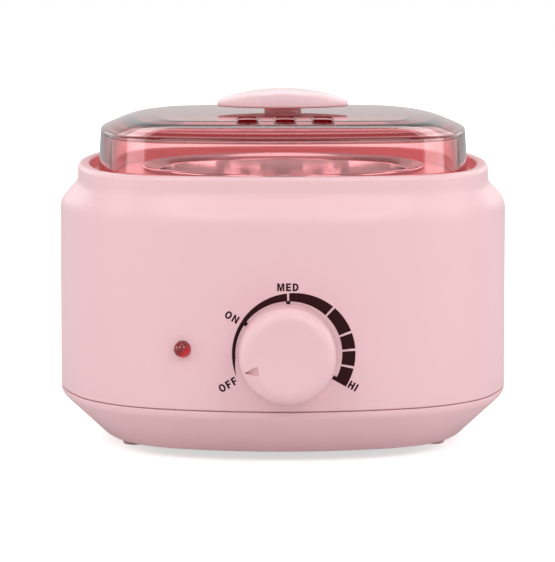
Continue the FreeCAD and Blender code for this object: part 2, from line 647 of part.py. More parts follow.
def knob_spring():
    """Leaf that fills the play between the shaft's flat and the hub."""
    low = BUSH_PROUD + 2 * HUB_CLEARANCE
    leaf_y = SHAFT_RADIUS - SHAFT_FLAT + HOLE_PLAY / 2
    return on_front(block(SHAFT_RADIUS, HOLE_PLAY, SHAFT_TIP - low, 0, leaf_y, low), CONTROL_Z)


def thermostat_bush():
    """Mounting plate with the threaded bush the shaft turns in."""
    back = -PANEL_BACK - PLATE_THICKNESS
    plate = block(PLATE_WIDTH, PLATE_HEIGHT, PLATE_THICKNESS, 0, 0, back)
    bush = disc(BUSH_RADIUS, -PANEL_BACK, BUSH_PROUD)
    bore = disc(SHAFT_RADIUS + RUNNING_FIT, back, BUSH_PROUD)
    return on_front(plate.fuse(bush).cut(bore), CONTROL_Z)


def thermostat_nut():
    return on_front(hexagon(NUT_RADIUS, NUT_THICKNESS).cut(disc(BUSH_RADIUS, 0, NUT_THICKNESS)), CONTROL_Z)


def thermostat_body():
    front = THERMOSTAT_DEPTH - THERMOSTAT_BACK
    case = block(THERMOSTAT_WIDTH, THERMOSTAT_HEIGHT, THERMOSTAT_DEPTH, 0, 0, -THERMOSTAT_BACK)
    bore = disc(SHAFT_RADIUS + RUNNING_FIT, front - 2 * SHAFT_ENTRY, front)
    return on_front(case.cut(bore), CONTROL_Z)


def thermostat_terminals():
    """Two brass tabs out of the sides of the thermostat."""
    out = (THERMOSTAT_WIDTH + TAB_LENGTH) / 2
    y = THERMOSTAT_Y - TAB_INSET
    return together(block(TAB_LENGTH, TAB_THICKNESS, TAB_WIDTH, side * out, y, CONTROL_Z) for side in SIDES)


def sensor_strap():
    """Aluminium strap that carries heat from under the well to the back of the thermostat."""
    low = min(CONTROL_Z - THERMOSTAT_HEIGHT / 2, WELL_UNDER_Z - STRAP_THICKNESS)
    high = max(CONTROL_Z, WELL_UNDER_Z)
    upright = block(STRAP_WIDTH, STRAP_THICKNESS, high - low, 0, THERMOSTAT_Y + STRAP_THICKNESS / 2, low)
    run = STRAP_REACH + STRAP_THICKNESS
    foot_z = WELL_UNDER_Z - STRAP_THICKNESS
    foot = block(STRAP_WIDTH, run, STRAP_THICKNESS, 0, THERMOSTAT_Y + run / 2, foot_z)
    return upright.fuse(foot).removeSplitter()


# ---- Indicator lamp ----
def indicator_lens():
    ball = Part.makeSphere(LENS_RADIUS, V(0, 0, LENS_PROUD))
    dome = ball.common(disc(2 * LENS_RADIUS, LENS_PROUD, LENS_PROUD + LENS_RADIUS))
    stem = disc(LENS_RADIUS, -LENS_DEPTH, LENS_PROUD)
    bore = disc(NEON_RADIUS + HOLE_PLAY, -LENS_DEPTH, 0)
    return at_lamp(dome.fuse(stem).cut(bore).removeSplitter())


def lamp_holder():
    """Push-on sleeve behind the panel that grips the lens and carries the neon tube."""
    low = -WALL - HOLDER_LENGTH
    outer = LENS_RADIUS + HOLDER_WALL
    sleeve = ring(outer, LENS_RADIUS, low, -WALL - HOLE_PLAY)
    return at_lamp(sleeve.fuse(disc(outer, low, low + HOLDER_WALL)).removeSplitter())


def neon_lamp():
    tube = disc(NEON_RADIUS, -WALL - HOLDER_LENGTH + HOLDER_WALL, -NEON_DEPTH)
    return at_lamp(chamfered(tube, -NEON_DEPTH, NEON_TIP))


# ---- Mains inlet, modelled looking at it from behind the warmer ----
def inlet_outline(grow, low, high):
    """Round-ended bar of the inlet's outline, grown all round."""
    outline = stadium(INLET_WIDTH + 2 * grow, INLET_TALL + 2 * grow, low, high)
    outline.rotate(V(0, 0, 0), V(0, 0, 1), 90)
    return outline


def pin_forms():
    low = -INLET_DEPTH - PIN_TAIL
    high = INLET_FLANGE_THICKNESS - PIN_INSET
    return [disc(PIN_RADIUS, low, high, side * PIN_SPACING / 2) for side in SIDES]


def mains_inlet():
    flange = inlet_outline(INLET_FLANGE, 0, INLET_FLANGE_THICKNESS)
    body = inlet_outline(0, -INLET_DEPTH, INLET_FLANGE_THICKNESS)
    socket = inlet_outline(-INLET_WALL, -INLET_DEPTH + INLET_WALL, INLET_FLANGE_THICKNESS)
    return on_inlet_seat(flange.fuse(body).cut(socket).cut(pin_forms()))


def inlet_pins():
    return on_inlet_seat(together(pin_forms()))


# ---- Terminal block on the floor of the base ----
def block_ways():
    return [(way - (BLOCK_WAYS - 1) / 2) * BLOCK_LENGTH / BLOCK_WAYS for way in range(BLOCK_WAYS)]


def terminal_block():
    """Ceramic connector with an entry at each end of every way and a screw well over it."""
    middle = INSIDE_FLOOR_Z + BLOCK_HEIGHT / 2
    body = block(BLOCK_LENGTH, BLOCK_WIDTH, BLOCK_HEIGHT, 0, BLOCK_Y, INSIDE_FLOOR_Z)
    for x in block_ways():
        entry = rod(BLOCK_SCREW_RADIUS, V(x, BLOCK_Y - BLOCK_WIDTH / 2, middle), V(0, BLOCK_WIDTH, 0))
        screw_well = disc(BLOCK_SCREW_RADIUS, middle, INSIDE_FLOOR_Z + BLOCK_HEIGHT, x, BLOCK_Y)
        body = body.cut([entry, screw_well])
    return body


def terminal_screws():
    low = INSIDE_FLOOR_Z + BLOCK_HEIGHT / 2
    high = low + BLOCK_SCREW_LENGTH
    return together(disc(BLOCK_SCREW_RADIUS, low, high, x, BLOCK_Y) for x in block_ways())


# ---- Lid ----
def lid_facet(margin, foot_z, run_per_rise, top):
    """Solid under a sloping facet that is margin inside the plan at the height foot_z."""
    low_grow = (foot_z - LID_FOOT_Z) * run_per_rise - margin
    return plan_taper(LID, low_grow, LID_FOOT_Z, LID, low_grow - (top - LID_FOOT_Z) * run_per_rise, top)


def lid_form(inset):
    """Drafted wall, steep bevel, shallow slope and a faintly crowned top, drawn in and down by inset."""
    top = LID_TOP_Z + LID_CROWN_RISE * 1.2 - inset
    draft = LID_DRAFT / LID_WALL_HEIGHT
    wall = plan_taper(LID, -inset, LID_FOOT_Z, LID, -inset - draft * (top - LID_FOOT_Z), top)
    bevel = lid_facet(LID_DRAFT, LID_EDGE_Z - inset, LID_BEVEL_WIDTH / LID_BEVEL_RISE, top)
    bend = LID_DRAFT + LID_BEVEL_WIDTH
    slope = lid_facet(bend, LID_BEND_Z - inset, LID_SLOPE_WIDTH / LID_SLOPE_RISE, top)
    plateau = LID_HALF - bend - LID_SLOPE_WIDTH
    crown = (plateau ** 2 + LID_CROWN_RISE ** 2) / (2 * LID_CROWN_RISE)
    dome = Part.makeSphere(crown, V(0, 0, CROWN_Z - inset - crown))
    return wall.common(bevel).common(slope).common(dome)


def lid_slot(x):
    low = LID_EDGE_Z - LID_WALL
    slot = block(SLOT_WIDTH, SLOT_LENGTH, HANDLE_Z - low, x, SLOT_INSET - LID_HALF, low)
    return slot.makeFillet(SLOT_CORNER, upright_edges(slot))


def lid_shell():
    outside = lid_form(0)
    edge = level_edges(outside, LID_EDGE_Z - LID_EDGE_ROUND, LID_EDGE_Z + LID_EDGE_ROUND)
    outside = outside.makeFillet(LID_EDGE_ROUND, edge)
    bend = level_edges(outside, LID_BEND_Z - LID_SLOPE_RISE / 3, LID_BEND_Z + LID_SLOPE_RISE / 3)
    outside = outside.makeFillet(LID_BEND_ROUND, bend)
    crease = level_edges(outside, LID_TOP_Z - LID_SLOPE_RISE / 2, CROWN_Z)
    outside = outside.makeFillet(LID_CREASE_ROUND, crease)
    slots = [lid_slot((count - (SLOTS - 1) / 2) * SLOT_PITCH) for count in range(SLOTS)]
    holes = [disc(SCREW_RADIUS + HOLE_PLAY, LID_EDGE_Z, HANDLE_Z, side * HANDLE_SCREW_X) for side in SIDES]
    return outside.cut(lid_form(LID_WALL)).cut(slots + holes)


def handle_grip():
    """Pointed oval with blunt ends and an arched top, standing on zero."""
    bow = (HANDLE_LENGTH ** 2 + HANDLE_DEPTH ** 2) / (4 * HANDLE_DEPTH)
    offset = bow - HANDLE_DEPTH / 2
    oval = disc(bow, 0, HANDLE_HEIGHT, 0, offset).common(disc(bow, 0, HANDLE_HEIGHT, 0, -offset))
    oval = oval.common(block(HANDLE_LENGTH - HANDLE_TIP, HANDLE_DEPTH, HANDLE_HEIGHT, 0, 0, 0))
    sag = HANDLE_HEIGHT - HANDLE_TIP
    arch = ((HANDLE_LENGTH / 2) ** 2 + sag ** 2) / (2 * sag)
    roof = rod(arch, V(0, -HANDLE_DEPTH, HANDLE_HEIGHT - arch), V(0, 2 * HANDLE_DEPTH, 0))
    grip = oval.common(roof).removeSplitter()
    grip = grip.makeFillet(HANDLE_TIP_ROUND, upright_edges(grip))
    top_edges = [edge for edge in grip.Edges if edge.BoundBox.ZMin > HANDLE_TIP / 2]
    return grip.makeFillet(HANDLE_ROUND, top_edges)


def lid_handle():
    grip = handle_grip()
    grip.translate(V(0, 0, HANDLE_Z))
    neck = stadium(NECK_LENGTH, NECK_DEPTH, CROWN_Z, HANDLE_Z + NECK_BITE)
    neck.rotate(V(0, 0, 0), V(0, 0, 1), 90)
    holes = [disc(SCREW_RADIUS, CROWN_Z, HANDLE_Z + HANDLE_TIP, side * HANDLE_SCREW_X) for side in SIDES]
    return grip.fuse(neck).removeSplitter().cut(holes)


def handle_screws():
    low = CROWN_Z - LID_WALL - RUNNING_FIT
    return together(screw(low, HANDLE_Z + NECK_BITE, side * HANDLE_SCREW_X, 0) for side in SIDES)


PIECES = [
    upper_housing, base_cover, rubber_feet, base_screws,
    heating_well, well_gasket, well_screws, band_heater, band_clamp, insulation_wrap, thermal_fuse, fuse_clip,
    thermostat_bush, thermostat_nut, thermostat_body, thermostat_terminals, sensor_strap,
    indicator_lens, lamp_holder, neon_lamp,
    mains_inlet, inlet_pins, terminal_block, terminal_screws,
    thermostat_shaft, knob_cap, knob_spring,
    wax_pot,
    lid_shell, lid_handle, handle_screws,
]


def main():
    os.makedirs("parts", exist_ok=True)
    for build in PIECES:
        name = build.__name__
        shape = build()
        shape.exportStep("parts/" + name + ".step")
        state = "valid" if shape.isValid() else "NOT VALID"
        print(name, len(shape.Solids), "solid", round(shape.Volume), "mm3", state)


main()
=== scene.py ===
"""Looks of an electric wax warmer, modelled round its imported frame.

The origin is on the worktop under the middle of the pot, +Z is up and the control panel faces -Y.
Lengths are in metres; a millimetre is written as a number times MM.
"""

import json
from math import asin, atan2, cos, degrees, hypot, pi, radians, sin, sqrt, tan
from types import SimpleNamespace

import bmesh
import bpy
import numpy as np
from mathutils import Matrix, Vector


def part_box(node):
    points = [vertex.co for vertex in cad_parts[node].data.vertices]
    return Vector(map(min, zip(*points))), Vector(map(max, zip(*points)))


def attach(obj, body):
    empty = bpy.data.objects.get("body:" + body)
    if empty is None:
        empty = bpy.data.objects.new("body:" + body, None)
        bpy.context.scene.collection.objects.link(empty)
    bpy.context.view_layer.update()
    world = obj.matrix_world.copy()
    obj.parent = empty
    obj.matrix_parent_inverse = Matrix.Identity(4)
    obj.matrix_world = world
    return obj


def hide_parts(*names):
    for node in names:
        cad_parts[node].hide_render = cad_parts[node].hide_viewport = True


MM = 0.001
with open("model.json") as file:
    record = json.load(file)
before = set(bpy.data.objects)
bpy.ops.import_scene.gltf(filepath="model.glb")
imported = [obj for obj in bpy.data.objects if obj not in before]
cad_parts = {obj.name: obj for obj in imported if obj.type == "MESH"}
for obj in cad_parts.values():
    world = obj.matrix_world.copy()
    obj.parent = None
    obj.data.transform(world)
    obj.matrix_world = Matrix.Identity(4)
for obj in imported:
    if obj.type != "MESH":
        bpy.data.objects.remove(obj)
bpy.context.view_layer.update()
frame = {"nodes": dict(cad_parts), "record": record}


def mm(*lengths):
    return tuple(length * MM for length in lengths)


def lowest(node):
    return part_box(node)[0]


def highest(node):
    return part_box(node)[1]


def half_across(node):
    """Half of a node's size along Y, to a tenth of a millimetre."""
    return round((highest(node).y - lowest(node).y) / 2, 4)


def middle_height(node):
    return round((highest(node).z + lowest(node).z) / 2, 4)


def arc_radius(half_chord, rise):
    return (half_chord ** 2 + rise ** 2) / (2 * rise)


# ---- Housing and base ----
BODY = (half_across("upper_housing"), *mm(130, 60))  # half width, radius of a side, radius of a corner
LID = (half_across("lid_shell"), *mm(190, 34))
BODY_HALF, BODY_SIDE_RADIUS = BODY[:2]
WALL = 2.6 * MM
SEAM_Z = lowest("upper_housing").z
RIM_TOP_Z = highest("upper_housing").z
RIM_HEIGHT = 7.2 * MM
RIM_WIDTH = 4.8 * MM
RIM_GROW = 3.4 * MM + RIM_WIDTH  # lid to rim, and the rim itself
RIM_INSET = BODY_HALF - LID[0] - RIM_GROW
RIM_FOOT_Z = RIM_TOP_Z - RIM_HEIGHT
SHOULDER_Z = RIM_FOOT_Z - 8 * MM
DECK_Z = RIM_TOP_Z - 5 * MM
CEILING_Z = DECK_Z - WALL
FLOOR_Z = lowest("base_cover").z
BAND_Z = SEAM_Z - 2.6 * MM
BASE_TAPER = 17 * MM
SEAM_GAP = 0.5 * MM
SEAM_LAND = 1.2 * MM
BREAK = 0.25 * MM  # round on the edges at the seam
PILLAR_RADIUS = 4.2 * MM
PILLAR_FOOT_Z = SEAM_Z + 4 * MM
VENTS = 7
VENT_PITCH = 8 * MM
VENT_SIZE = mm(2.6, 34)
FOOT_RADIUS = 5 * MM
FOOT_SINK = 1 * MM
FOOT_PITCH = [2 * (highest("rubber_feet")[axis] - FOOT_RADIUS) for axis in (0, 1)]

# ---- Pot and well ----
POT_WALL = 0.9 * MM
POT_MOUTH = 50 * MM
POT_FOOT = 48 * MM
POT_FLANGE = 58 * MM
POT_CORNER = 8 * MM
HEM_WIDTH = 2.2 * MM
HEM_DEPTH = 0.8 * MM
FLANGE_RISE = 2.3 * MM
WELL_WALL = 1.2 * MM
WELL_MOUTH = 52.2 * MM
WELL_FOOT = 50.2 * MM
WELL_FLANGE = 60.2 * MM
WELL_SCREW_PLACE = WELL_MOUTH + WELL_WALL + 3.3 * MM

# ---- Screws ----
SCREW_RADIUS = 1.6 * MM
PLAY = 0.2 * MM  # round a piece in its hole
HEAD_RADIUS = 3.1 * MM
HEAD_HEIGHT = 2 * MM
CROSS = mm(3.4, 0.9)  # recess in a screw's head
SCREW_PLACE = highest("base_screws").x - HEAD_RADIUS
HANDLE_SCREW_X = highest("handle_screws").x - HEAD_RADIUS

# ---- Controls ----
CONTROL_Z = middle_height("knob_cap")
KNOB_RADIUS = 18.4 * MM
KNOB_FOOT_RADIUS = 18.8 * MM
KNOB_STANDOFF = 1 * MM
KNOB_FACE = 16 * MM
KNOB_EDGE = 4.8 * MM
KNOB_DISH = 0.7 * MM
KNOB_WALL = 2.2 * MM
HUB_RADIUS = 5.6 * MM
HUB_END = 4.4 * MM
BORE_RADIUS = 3.2 * MM
POINTER_CORNERS = (mm(-16.5, -6.1), mm(-10.6, -7.0), mm(-11.5, -3.2))
POINTER_DEPTH = 0.8 * MM
LAMP_X = -40 * MM
LAMP_Z = middle_height("indicator_lens")
LENS_RADIUS = 3.1 * MM
LENS_PROUD = 1 * MM
LENS_DEPTH = 7 * MM
LENS_BORE = 2.1 * MM
INLET_Z = middle_height("mains_inlet")
INLET_SIZE = mm(17, 9.6)
INLET_FLANGE = 4.5 * MM
INLET_PROUD = 1.6 * MM
INLET_DEPTH = 14 * MM
INLET_WALL = 1.6 * MM
PIN_PITCH = 8.6 * MM
PIN_RADIUS = 1.2 * MM

# ---- Dial print: places on the panel as (across, height), angles anticlockwise from the right ----
DIAL_INNER = mm(0.7, 44.4, 20.5)  # across, height, radius
DIAL_OUTER = mm(2.6, 44.4, 23.7)
DIAL_OFF, DIAL_ON, DIAL_MIDDLE, DIAL_HIGH = 203.3, 144.6, 90.8, -30.2
DIAL_STEPS = (46.1, 19.3, 3.4, -12.2)
DIAL_GAP = 0.8 * MM
DIAL_POINT = 0.17  # share of the first step over which it widens from a point
TICK = 1.6 * MM
WORDS = (  # word, middle of the word, turn
    ("OFF", mm(-22.7, 32.5), 31.0),
    ("ON", mm(-21.1, 58.7), -30.0),
    ("MED", mm(0.3, 70.3), 0.0),
    ("HI", mm(25.4, 31.8), -30.0),
)
LETTER_HEIGHT = 3.0 * MM
LETTER_GAP = 0.22  # between letters; widths and strokes are in letter heights too
STROKE = 0.235
INK = 0.02 * MM
STRIP_POINTS = (41, 5)  # along a strip of the dial and across it

# ---- Lid and handle ----
LID_FOOT_Z = lowest("lid_shell").z
CROWN_Z = highest("lid_shell").z
LID_WALL = 2.2 * MM
LID_DRAFT = 1.2 * MM
LID_BEVEL = mm(10, 4.3)  # width and rise of the steep facet
LID_SLOPE = mm(11, 1.4)  # and of the shallow one inside it
LID_TOP_Z = CROWN_Z - 0.5 * MM
LID_BEND_Z = LID_TOP_Z - LID_SLOPE[1]
LID_EDGE_Z = LID_BEND_Z - LID_BEVEL[1]
LID_BEND = LID_DRAFT + LID_BEVEL[0]
LID_CREASE = LID_BEND + LID_SLOPE[0]
PLATEAU = LID[0] - LID_CREASE
CROWN_BOWL = arc_radius(PLATEAU, CROWN_Z - LID_TOP_Z)
SLOT_SIZE = mm(7.3, 12, 3)  # width, length, corner
SLOT_PITCH = 14.7 * MM
SLOT_Y = 24 * MM - LID[0]
SLOT_LIP = 0.45 * MM
SLOT_BEAD = 0.38 * MM  # half width and height of the raised lip round a slot
SLOT_TINT = 0.8 * MM  # reach of the painted deeper tint round a slot
EDGE_TINT = mm(0.45, 0.95)  # and of the painted deeper tint about the outer edge: where it begins to fade and is gone
# how much light still passes where the deeper edge tint is painted
EDGE_CLEARNESS = 0.35
LID_COAT = 0.4
HANDLE_Z = CROWN_Z + 1.8 * MM
HANDLE_LENGTH = 54 * MM
HANDLE_DEPTH = 27 * MM
HANDLE_REACH = 26.5 * MM
HANDLE_TOP = 7.0 * MM
HANDLE_TIP = 2.9 * MM
HANDLE_ROUND = 1.8 * MM
HANDLE_LOWER_ROUND = 1.1 * MM
NECK = mm(15, 9)
NECK_BITE = 1.7 * MM

# ---- Camera: fitted to the rim, the lid's edges and the seam ----
CAMERA_PLACE = mm(-28, -1486, 230)
CAMERA_TARGET = mm(-2.1, 0, 62.6)
LENS_MM = 235.7

# ---- Lamps: name, angle round the object, height, distance, size, power ----
LAMPS = (
    ("left_box", -83, 0.5, 1.35, (0.82, 0.82), 4.2),
    ("right_box", 83, 0.5, 1.35, (0.9, 0.82), 5.1),
    ("front_left_box", -34, 1.08, 1.28, (0.75, 1.05), 7.2),
    ("front_right_box", 34, 1.08, 1.28, (0.75, 1.05), 7.2),
    ("top_box", 0, 1.55, 0.03, (1.05, 0.6), 3.8),
    ("rear_box", 180, 1.08, 1.35, (1.8, 0.3), 2.4),
    ("rear_left_box", -142, 0.72, 1.35, (1.2, 1.1), 3.9),
    ("rear_right_box", 142, 0.72, 1.35, (1.2, 1.1), 3.9),
)
WHITE = (1.0, 1.0, 1.0, 1.0)

SIDE_STEPS = 36
CORNER_STEPS = 26
FULL_TURN = 2 * pi
SMOOTH_ANGLES = {"knob_cap": 40, "lid_shell": 38}  # where shading breaks, if not at 32 degrees
NOTHING = 1e-6


# ---- Outlines, rings and profiles ----
def spread(start, end, steps):
    """Evenly spaced values from start towards end, which is left off."""
    return [start + (end - start) * step / steps for step in range(steps)]


def soft_square(plan, grow, z):
    """Ring of four side arcs joined by four corner arcs, grown all round."""
    half, side, corner = (size + grow for size in plan)
    set_back = side - half
    reach = side - corner
    centre = (sqrt(2 * reach ** 2 - set_back ** 2) - set_back) / 2
    swing = asin(centre / reach)
    quarter = [(side * cos(a) - set_back, side * sin(a)) for a in spread(-swing, swing, SIDE_STEPS)]
    quarter += [(centre + corner * cos(a), centre + corner * sin(a))
                for a in spread(swing, pi / 2 - swing, CORNER_STEPS)]
    ring = []
    for turn in range(4):
        spin = Matrix.Rotation(turn * pi / 2, 2)
        ring += [(*(spin @ Vector(point)), z) for point in quarter]
    return np.array(ring)


def circle_like(ring, radius, z):
    """Circle with its points on the same rays from the middle as the ring's."""
    flat = ring[:, :2] / np.linalg.norm(ring[:, :2], axis=1)[:, None] * radius
    return np.column_stack([flat, np.full(len(ring), z)])


def rounded_path(corners, steps=7):
    """Open path of points (across, up) from corners (across, up, round)."""
    path = [Vector(corners[0][:2])]
    for before, here, after in zip(corners, corners[1:], corners[2:]):
        corner = Vector(here[:2])
        back = (Vector(before[:2]) - corner).normalized()
        ahead = (Vector(after[:2]) - corner).normalized()
        half_angle = back.angle(ahead) / 2
        if here[2] == 0:
            path.append(corner)
            continue
        middle = corner + (back + ahead).normalized() * here[2] / sin(half_angle)
        start = corner + back * here[2] / tan(half_angle) - middle
        end = corner + ahead * here[2] / tan(half_angle) - middle
        sweep = start.angle(end)
        for step in range(steps + 1):
            turn = sweep * step / steps
            path.append(middle + (start * sin(sweep - turn) + end * sin(turn)) / sin(sweep))
    return path + [Vector(corners[-1][:2])]


def rounded_oblong(width, length, corner, steps=8):
    """Outline of a rectangle with rounded corners, centred on zero."""
    outline = []
    for x, y, turn in ((1, 1, 0), (-1, 1, 1), (-1, -1, 2), (1, -1, 3)):
        middle = Vector((x * (width / 2 - corner), y * (length / 2 - corner)))
        arc = [pi / 2 * (turn + step / steps) for step in range(steps + 1)]
        outline += [middle + corner * Vector((cos(a), sin(a))) for a in arc]
    return outline


def at_height(outline, z):
    return np.array([(x, y, z) for x, y in outline])


# ---- Meshes ----
def as_piece(name, mesh):
    piece = bpy.data.objects.new(name, mesh)
    bpy.context.scene.collection.objects.link(piece)
    return piece


def mesh_piece(name, points, faces=()):
    mesh = bpy.data.meshes.new(name)
    mesh.from_pydata([tuple(point) for point in points], [], faces)
    return as_piece(name, mesh)


def edited(piece, change):
    """Run a change on the piece's mesh as a bmesh."""
    shape = bmesh.new()
    shape.from_mesh(piece.data)
    change(shape)
    shape.to_mesh(piece.data)
    shape.free()
    return piece


def tidied(piece):
    """Merge doubled points, drop what they leave flat, and turn every face outwards."""
    def change(shape):
        bmesh.ops.remove_doubles(shape, verts=shape.verts, dist=MM / 500)
        bmesh.ops.dissolve_degenerate(shape, edges=shape.edges, dist=MM / 1000)
        bmesh.ops.recalc_face_normals(shape, faces=shape.faces)
    return edited(piece, change)


def smooth_shaded(piece, angle=32):
    """Smooth shading that breaks at edges sharper than the angle."""
    def change(shape):
        for face in shape.faces:
            face.smooth = True
        for edge in shape.edges:
            edge.smooth = len(edge.link_faces) == 2 and edge.calc_face_angle(0) < radians(angle)
    return edited(piece, change)


def lofted(name, rings, closed=False, capped=(0, -1)):
    """Skin through rings of points, with a face at each capped end unless the last ring meets the first."""
    count = len(rings[0])
    starts = [count * row for row in range(len(rings))]
    pairs = list(zip(starts, starts[1:])) + ([(starts[-1], 0)] if closed else [])
    faces = [(a + i, a + (i + 1) % count, b + (i + 1) % count, b + i) for a, b in pairs for i in range(count)]
    if not closed:
        faces += [tuple(range(starts[end], starts[end] + count)) for end in capped]
    return tidied(mesh_piece(name, np.concatenate(rings), faces))


def prism(name, outline, low, high):
    return lofted(name, [at_height(outline, z) for z in (low, high)])


def move(piece, matrix):
    piece.data.transform(matrix)
    return piece


def settle(piece):
    """Put the result of the piece's modifiers into its mesh."""
    graph = bpy.context.evaluated_depsgraph_get()
    mesh = bpy.data.meshes.new_from_object(piece.evaluated_get(graph))
    piece.modifiers.clear()
    piece.data = mesh
    return piece


def merged(piece, others, operation):
    """Cut other pieces out of a piece, or add them to it, and drop them."""
    for other in others:
        modifier = piece.modifiers.new(operation, "BOOLEAN")
        modifier.operation = operation
        modifier.solver = "EXACT"
        modifier.object = other
        settle(piece)
        bpy.data.objects.remove(other)
    return piece


def cut(piece, *cutters):
    return merged(piece, cutters, "DIFFERENCE")


def joined(name, *parts):
    """One piece of several closed meshes."""
    shape = bmesh.new()
    for part in parts:
        shape.from_mesh(part.data)
        bpy.data.objects.remove(part)
    mesh = bpy.data.meshes.new(name)
    shape.to_mesh(mesh)
    shape.free()
    return as_piece(name, mesh)


# ---- Seats: each stands a piece modelled from above on the housing, with its top outwards ----
def seat(y, z, turn):
    return Matrix.Translation((0, y, z)) @ Matrix.Rotation(turn, 4, "X")


PANEL_AXIS = Matrix.Translation((0, BODY_SIDE_RADIUS - BODY_HALF, 0))
LAMP_TURN = Matrix.Rotation(asin(LAMP_X / BODY_SIDE_RADIUS), 4, "Z")
LAMP_SEAT = PANEL_AXIS @ LAMP_TURN @ PANEL_AXIS.inverted() @ seat(-BODY_HALF, LAMP_Z, pi / 2)
KNOB_SEAT = seat(-BODY_HALF, CONTROL_Z, pi / 2)
INLET_SEAT = seat(BODY_HALF - INLET_PROUD, INLET_Z, -pi / 2)


# ---- Node trees ----
def operation(name, swapped=False):
    """Method that adds a Math node."""
    def method(value, other=0.0):
        terms = (other, value) if swapped else (value, other)
        return value.nodes.out("ShaderNodeMath", dict(enumerate(terms)), operation=name)
    return method


class Value:
    """A socket of a node tree, to be written in sums."""
    __add__ = operation("ADD")
    __sub__ = operation("SUBTRACT")
    __rsub__ = operation("SUBTRACT", swapped=True)
    __mul__ = operation("MULTIPLY")
    __truediv__ = operation("DIVIDE")
    __mod__ = operation("MODULO")
    __pow__ = operation("POWER")
    __abs__ = operation("ABSOLUTE")
    __round__ = operation("ROUND")
    floor = operation("FLOOR")
    sqrt = operation("SQRT")
    sine = operation("SINE")
    cosine = operation("COSINE")
    at_most = operation("MINIMUM")
    at_least = operation("MAXIMUM")
    is_below = operation("LESS_THAN")

    def __init__(self, nodes, socket):
        self.nodes = nodes
        self.socket = socket


class Nodes:
    """Adds nodes to a tree, with their inputs fed by name or by number."""

    def __init__(self, tree):
        self.tree = tree

    def feed(self, socket, value):
        """Link a socket to another, or set its own value."""
        value = getattr(value, "socket", value)
        if isinstance(value, bpy.types.NodeSocket):
            self.tree.links.new(value, socket)
        else:
            socket.default_value = value

    def node(self, kind, inputs=(), **settings):
        node = self.tree.nodes.new(kind)
        for name, value in settings.items():
            setattr(node, name, value)
        for name, value in dict(inputs).items():
            self.feed(node.inputs[name], value)
        return node

    def out(self, kind, inputs=(), output=0, **settings):
        """One output of a new node: the first, or another by name or number."""
        return Value(self, self.node(kind, inputs, **settings).outputs[output])

    def place(self):
        return self.out("ShaderNodeTexCoord", output="Object")

    def parts(self, vector):
        """X, Y and Z of a vector."""
        return [Value(self, part) for part in self.node("ShaderNodeSeparateXYZ", {0: vector}).outputs]

    def vector(self, x=0.0, y=0.0, z=0.0):
        return self.out("ShaderNodeCombineXYZ", {0: x, 1: y, 2: z})

    def ranged(self, value, to=(0.0, 1.0), over=(0.0, 1.0)):
        """Value carried from one range to another, and held at its ends."""
        return self.out("ShaderNodeMapRange", {
            "Value": value, "From Min": over[0], "From Max": over[1], "To Min": to[0], "To Max": to[1]})

    def length(self, vector):
        return self.out("ShaderNodeVectorMath", {0: vector}, "Value", operation="LENGTH")

    def noise(self, scale, detail=2.0, place=None):
        place = place or self.place()
        return self.out("ShaderNodeTexNoise", {"Vector": place, "Scale": scale, "Detail": detail})

    def blended(self, amount, first, second):
        """Mix of two colours."""
        return self.out("ShaderNodeMix", {0: amount, 6: first, 7: second}, 2, data_type="RGBA")


class GrownPiece(Nodes):
    """Geometry Nodes tree with named inputs, which ends in Realize Instances and Set Material."""

    def __init__(self, name, **inputs):
        super().__init__(bpy.data.node_groups.new(name, "GeometryNodeTree"))
        face = self.tree.interface
        for way in ("INPUT", "OUTPUT"):
            face.new_socket("Geometry", in_out=way, socket_type="NodeSocketGeometry")
        self.identifiers = {
            label: face.new_socket(label, in_out="INPUT", socket_type="NodeSocket" + kind).identifier
            for label, kind in dict(inputs, finish="Material").items()}
        sockets = self.node("NodeGroupInput").outputs
        self.given = SimpleNamespace(**{each.name: Value(self, each) for each in sockets if each.name})
        self.index = self.out("GeometryNodeInputIndex")

    def end(self, geometry):
        realized = self.out("GeometryNodeRealizeInstances", {"Geometry": geometry})
        painted = self.out("GeometryNodeSetMaterial", {"Geometry": realized, "Material": self.given.finish})
        self.feed(self.tree.nodes.new("NodeGroupOutput").inputs[0], painted)
        return self

    def end_with_copies(self, count, place):
        """Copies of the given piece, each at the place worked out from its index."""
        points = self.out("GeometryNodePoints", {"Count": count, "Position": place})
        piece = self.given.Geometry
        return self.end(self.out("GeometryNodeInstanceOnPoints", {"Points": points, "Instance": piece}))

    def run(self, piece, finish, **values):
        """Run the tree on a piece and keep the result as its plain mesh."""
        modifier = piece.modifiers.new(self.tree.name, "NODES")
        modifier.node_group = self.tree
        for label, value in dict(values, finish=FINISHES[finish]).items():
            modifier[self.identifiers[label]] = value
        return settle(piece)


def turning_tree():
    """Turns a profile, given as a row of points (radius, 0, height), about Z."""
    grown = GrownPiece("turning", points="Int", steps="Int", weld="Float")
    given = grown.given
    seam = given.steps + 1.0
    sheet = grown.out("GeometryNodeMeshGrid", {"Vertices X": given.points, "Vertices Y": seam})
    row = (grown.index / seam).floor()
    turn = grown.index % seam / given.steps * FULL_TURN
    place = grown.out("GeometryNodeInputPosition")
    point = grown.out("GeometryNodeSampleIndex", {"Geometry": given.Geometry, "Value": place, "Index": row},
                      data_type="FLOAT_VECTOR")
    spot = grown.out("ShaderNodeVectorRotate", {"Vector": point, "Angle": turn}, rotation_type="Z_AXIS")
    laid = grown.out("GeometryNodeSetPosition", {"Geometry": sheet, "Position": spot})
    return grown.end(grown.out("GeometryNodeMergeByDistance", {"Geometry": laid, "Distance": given.weld}))


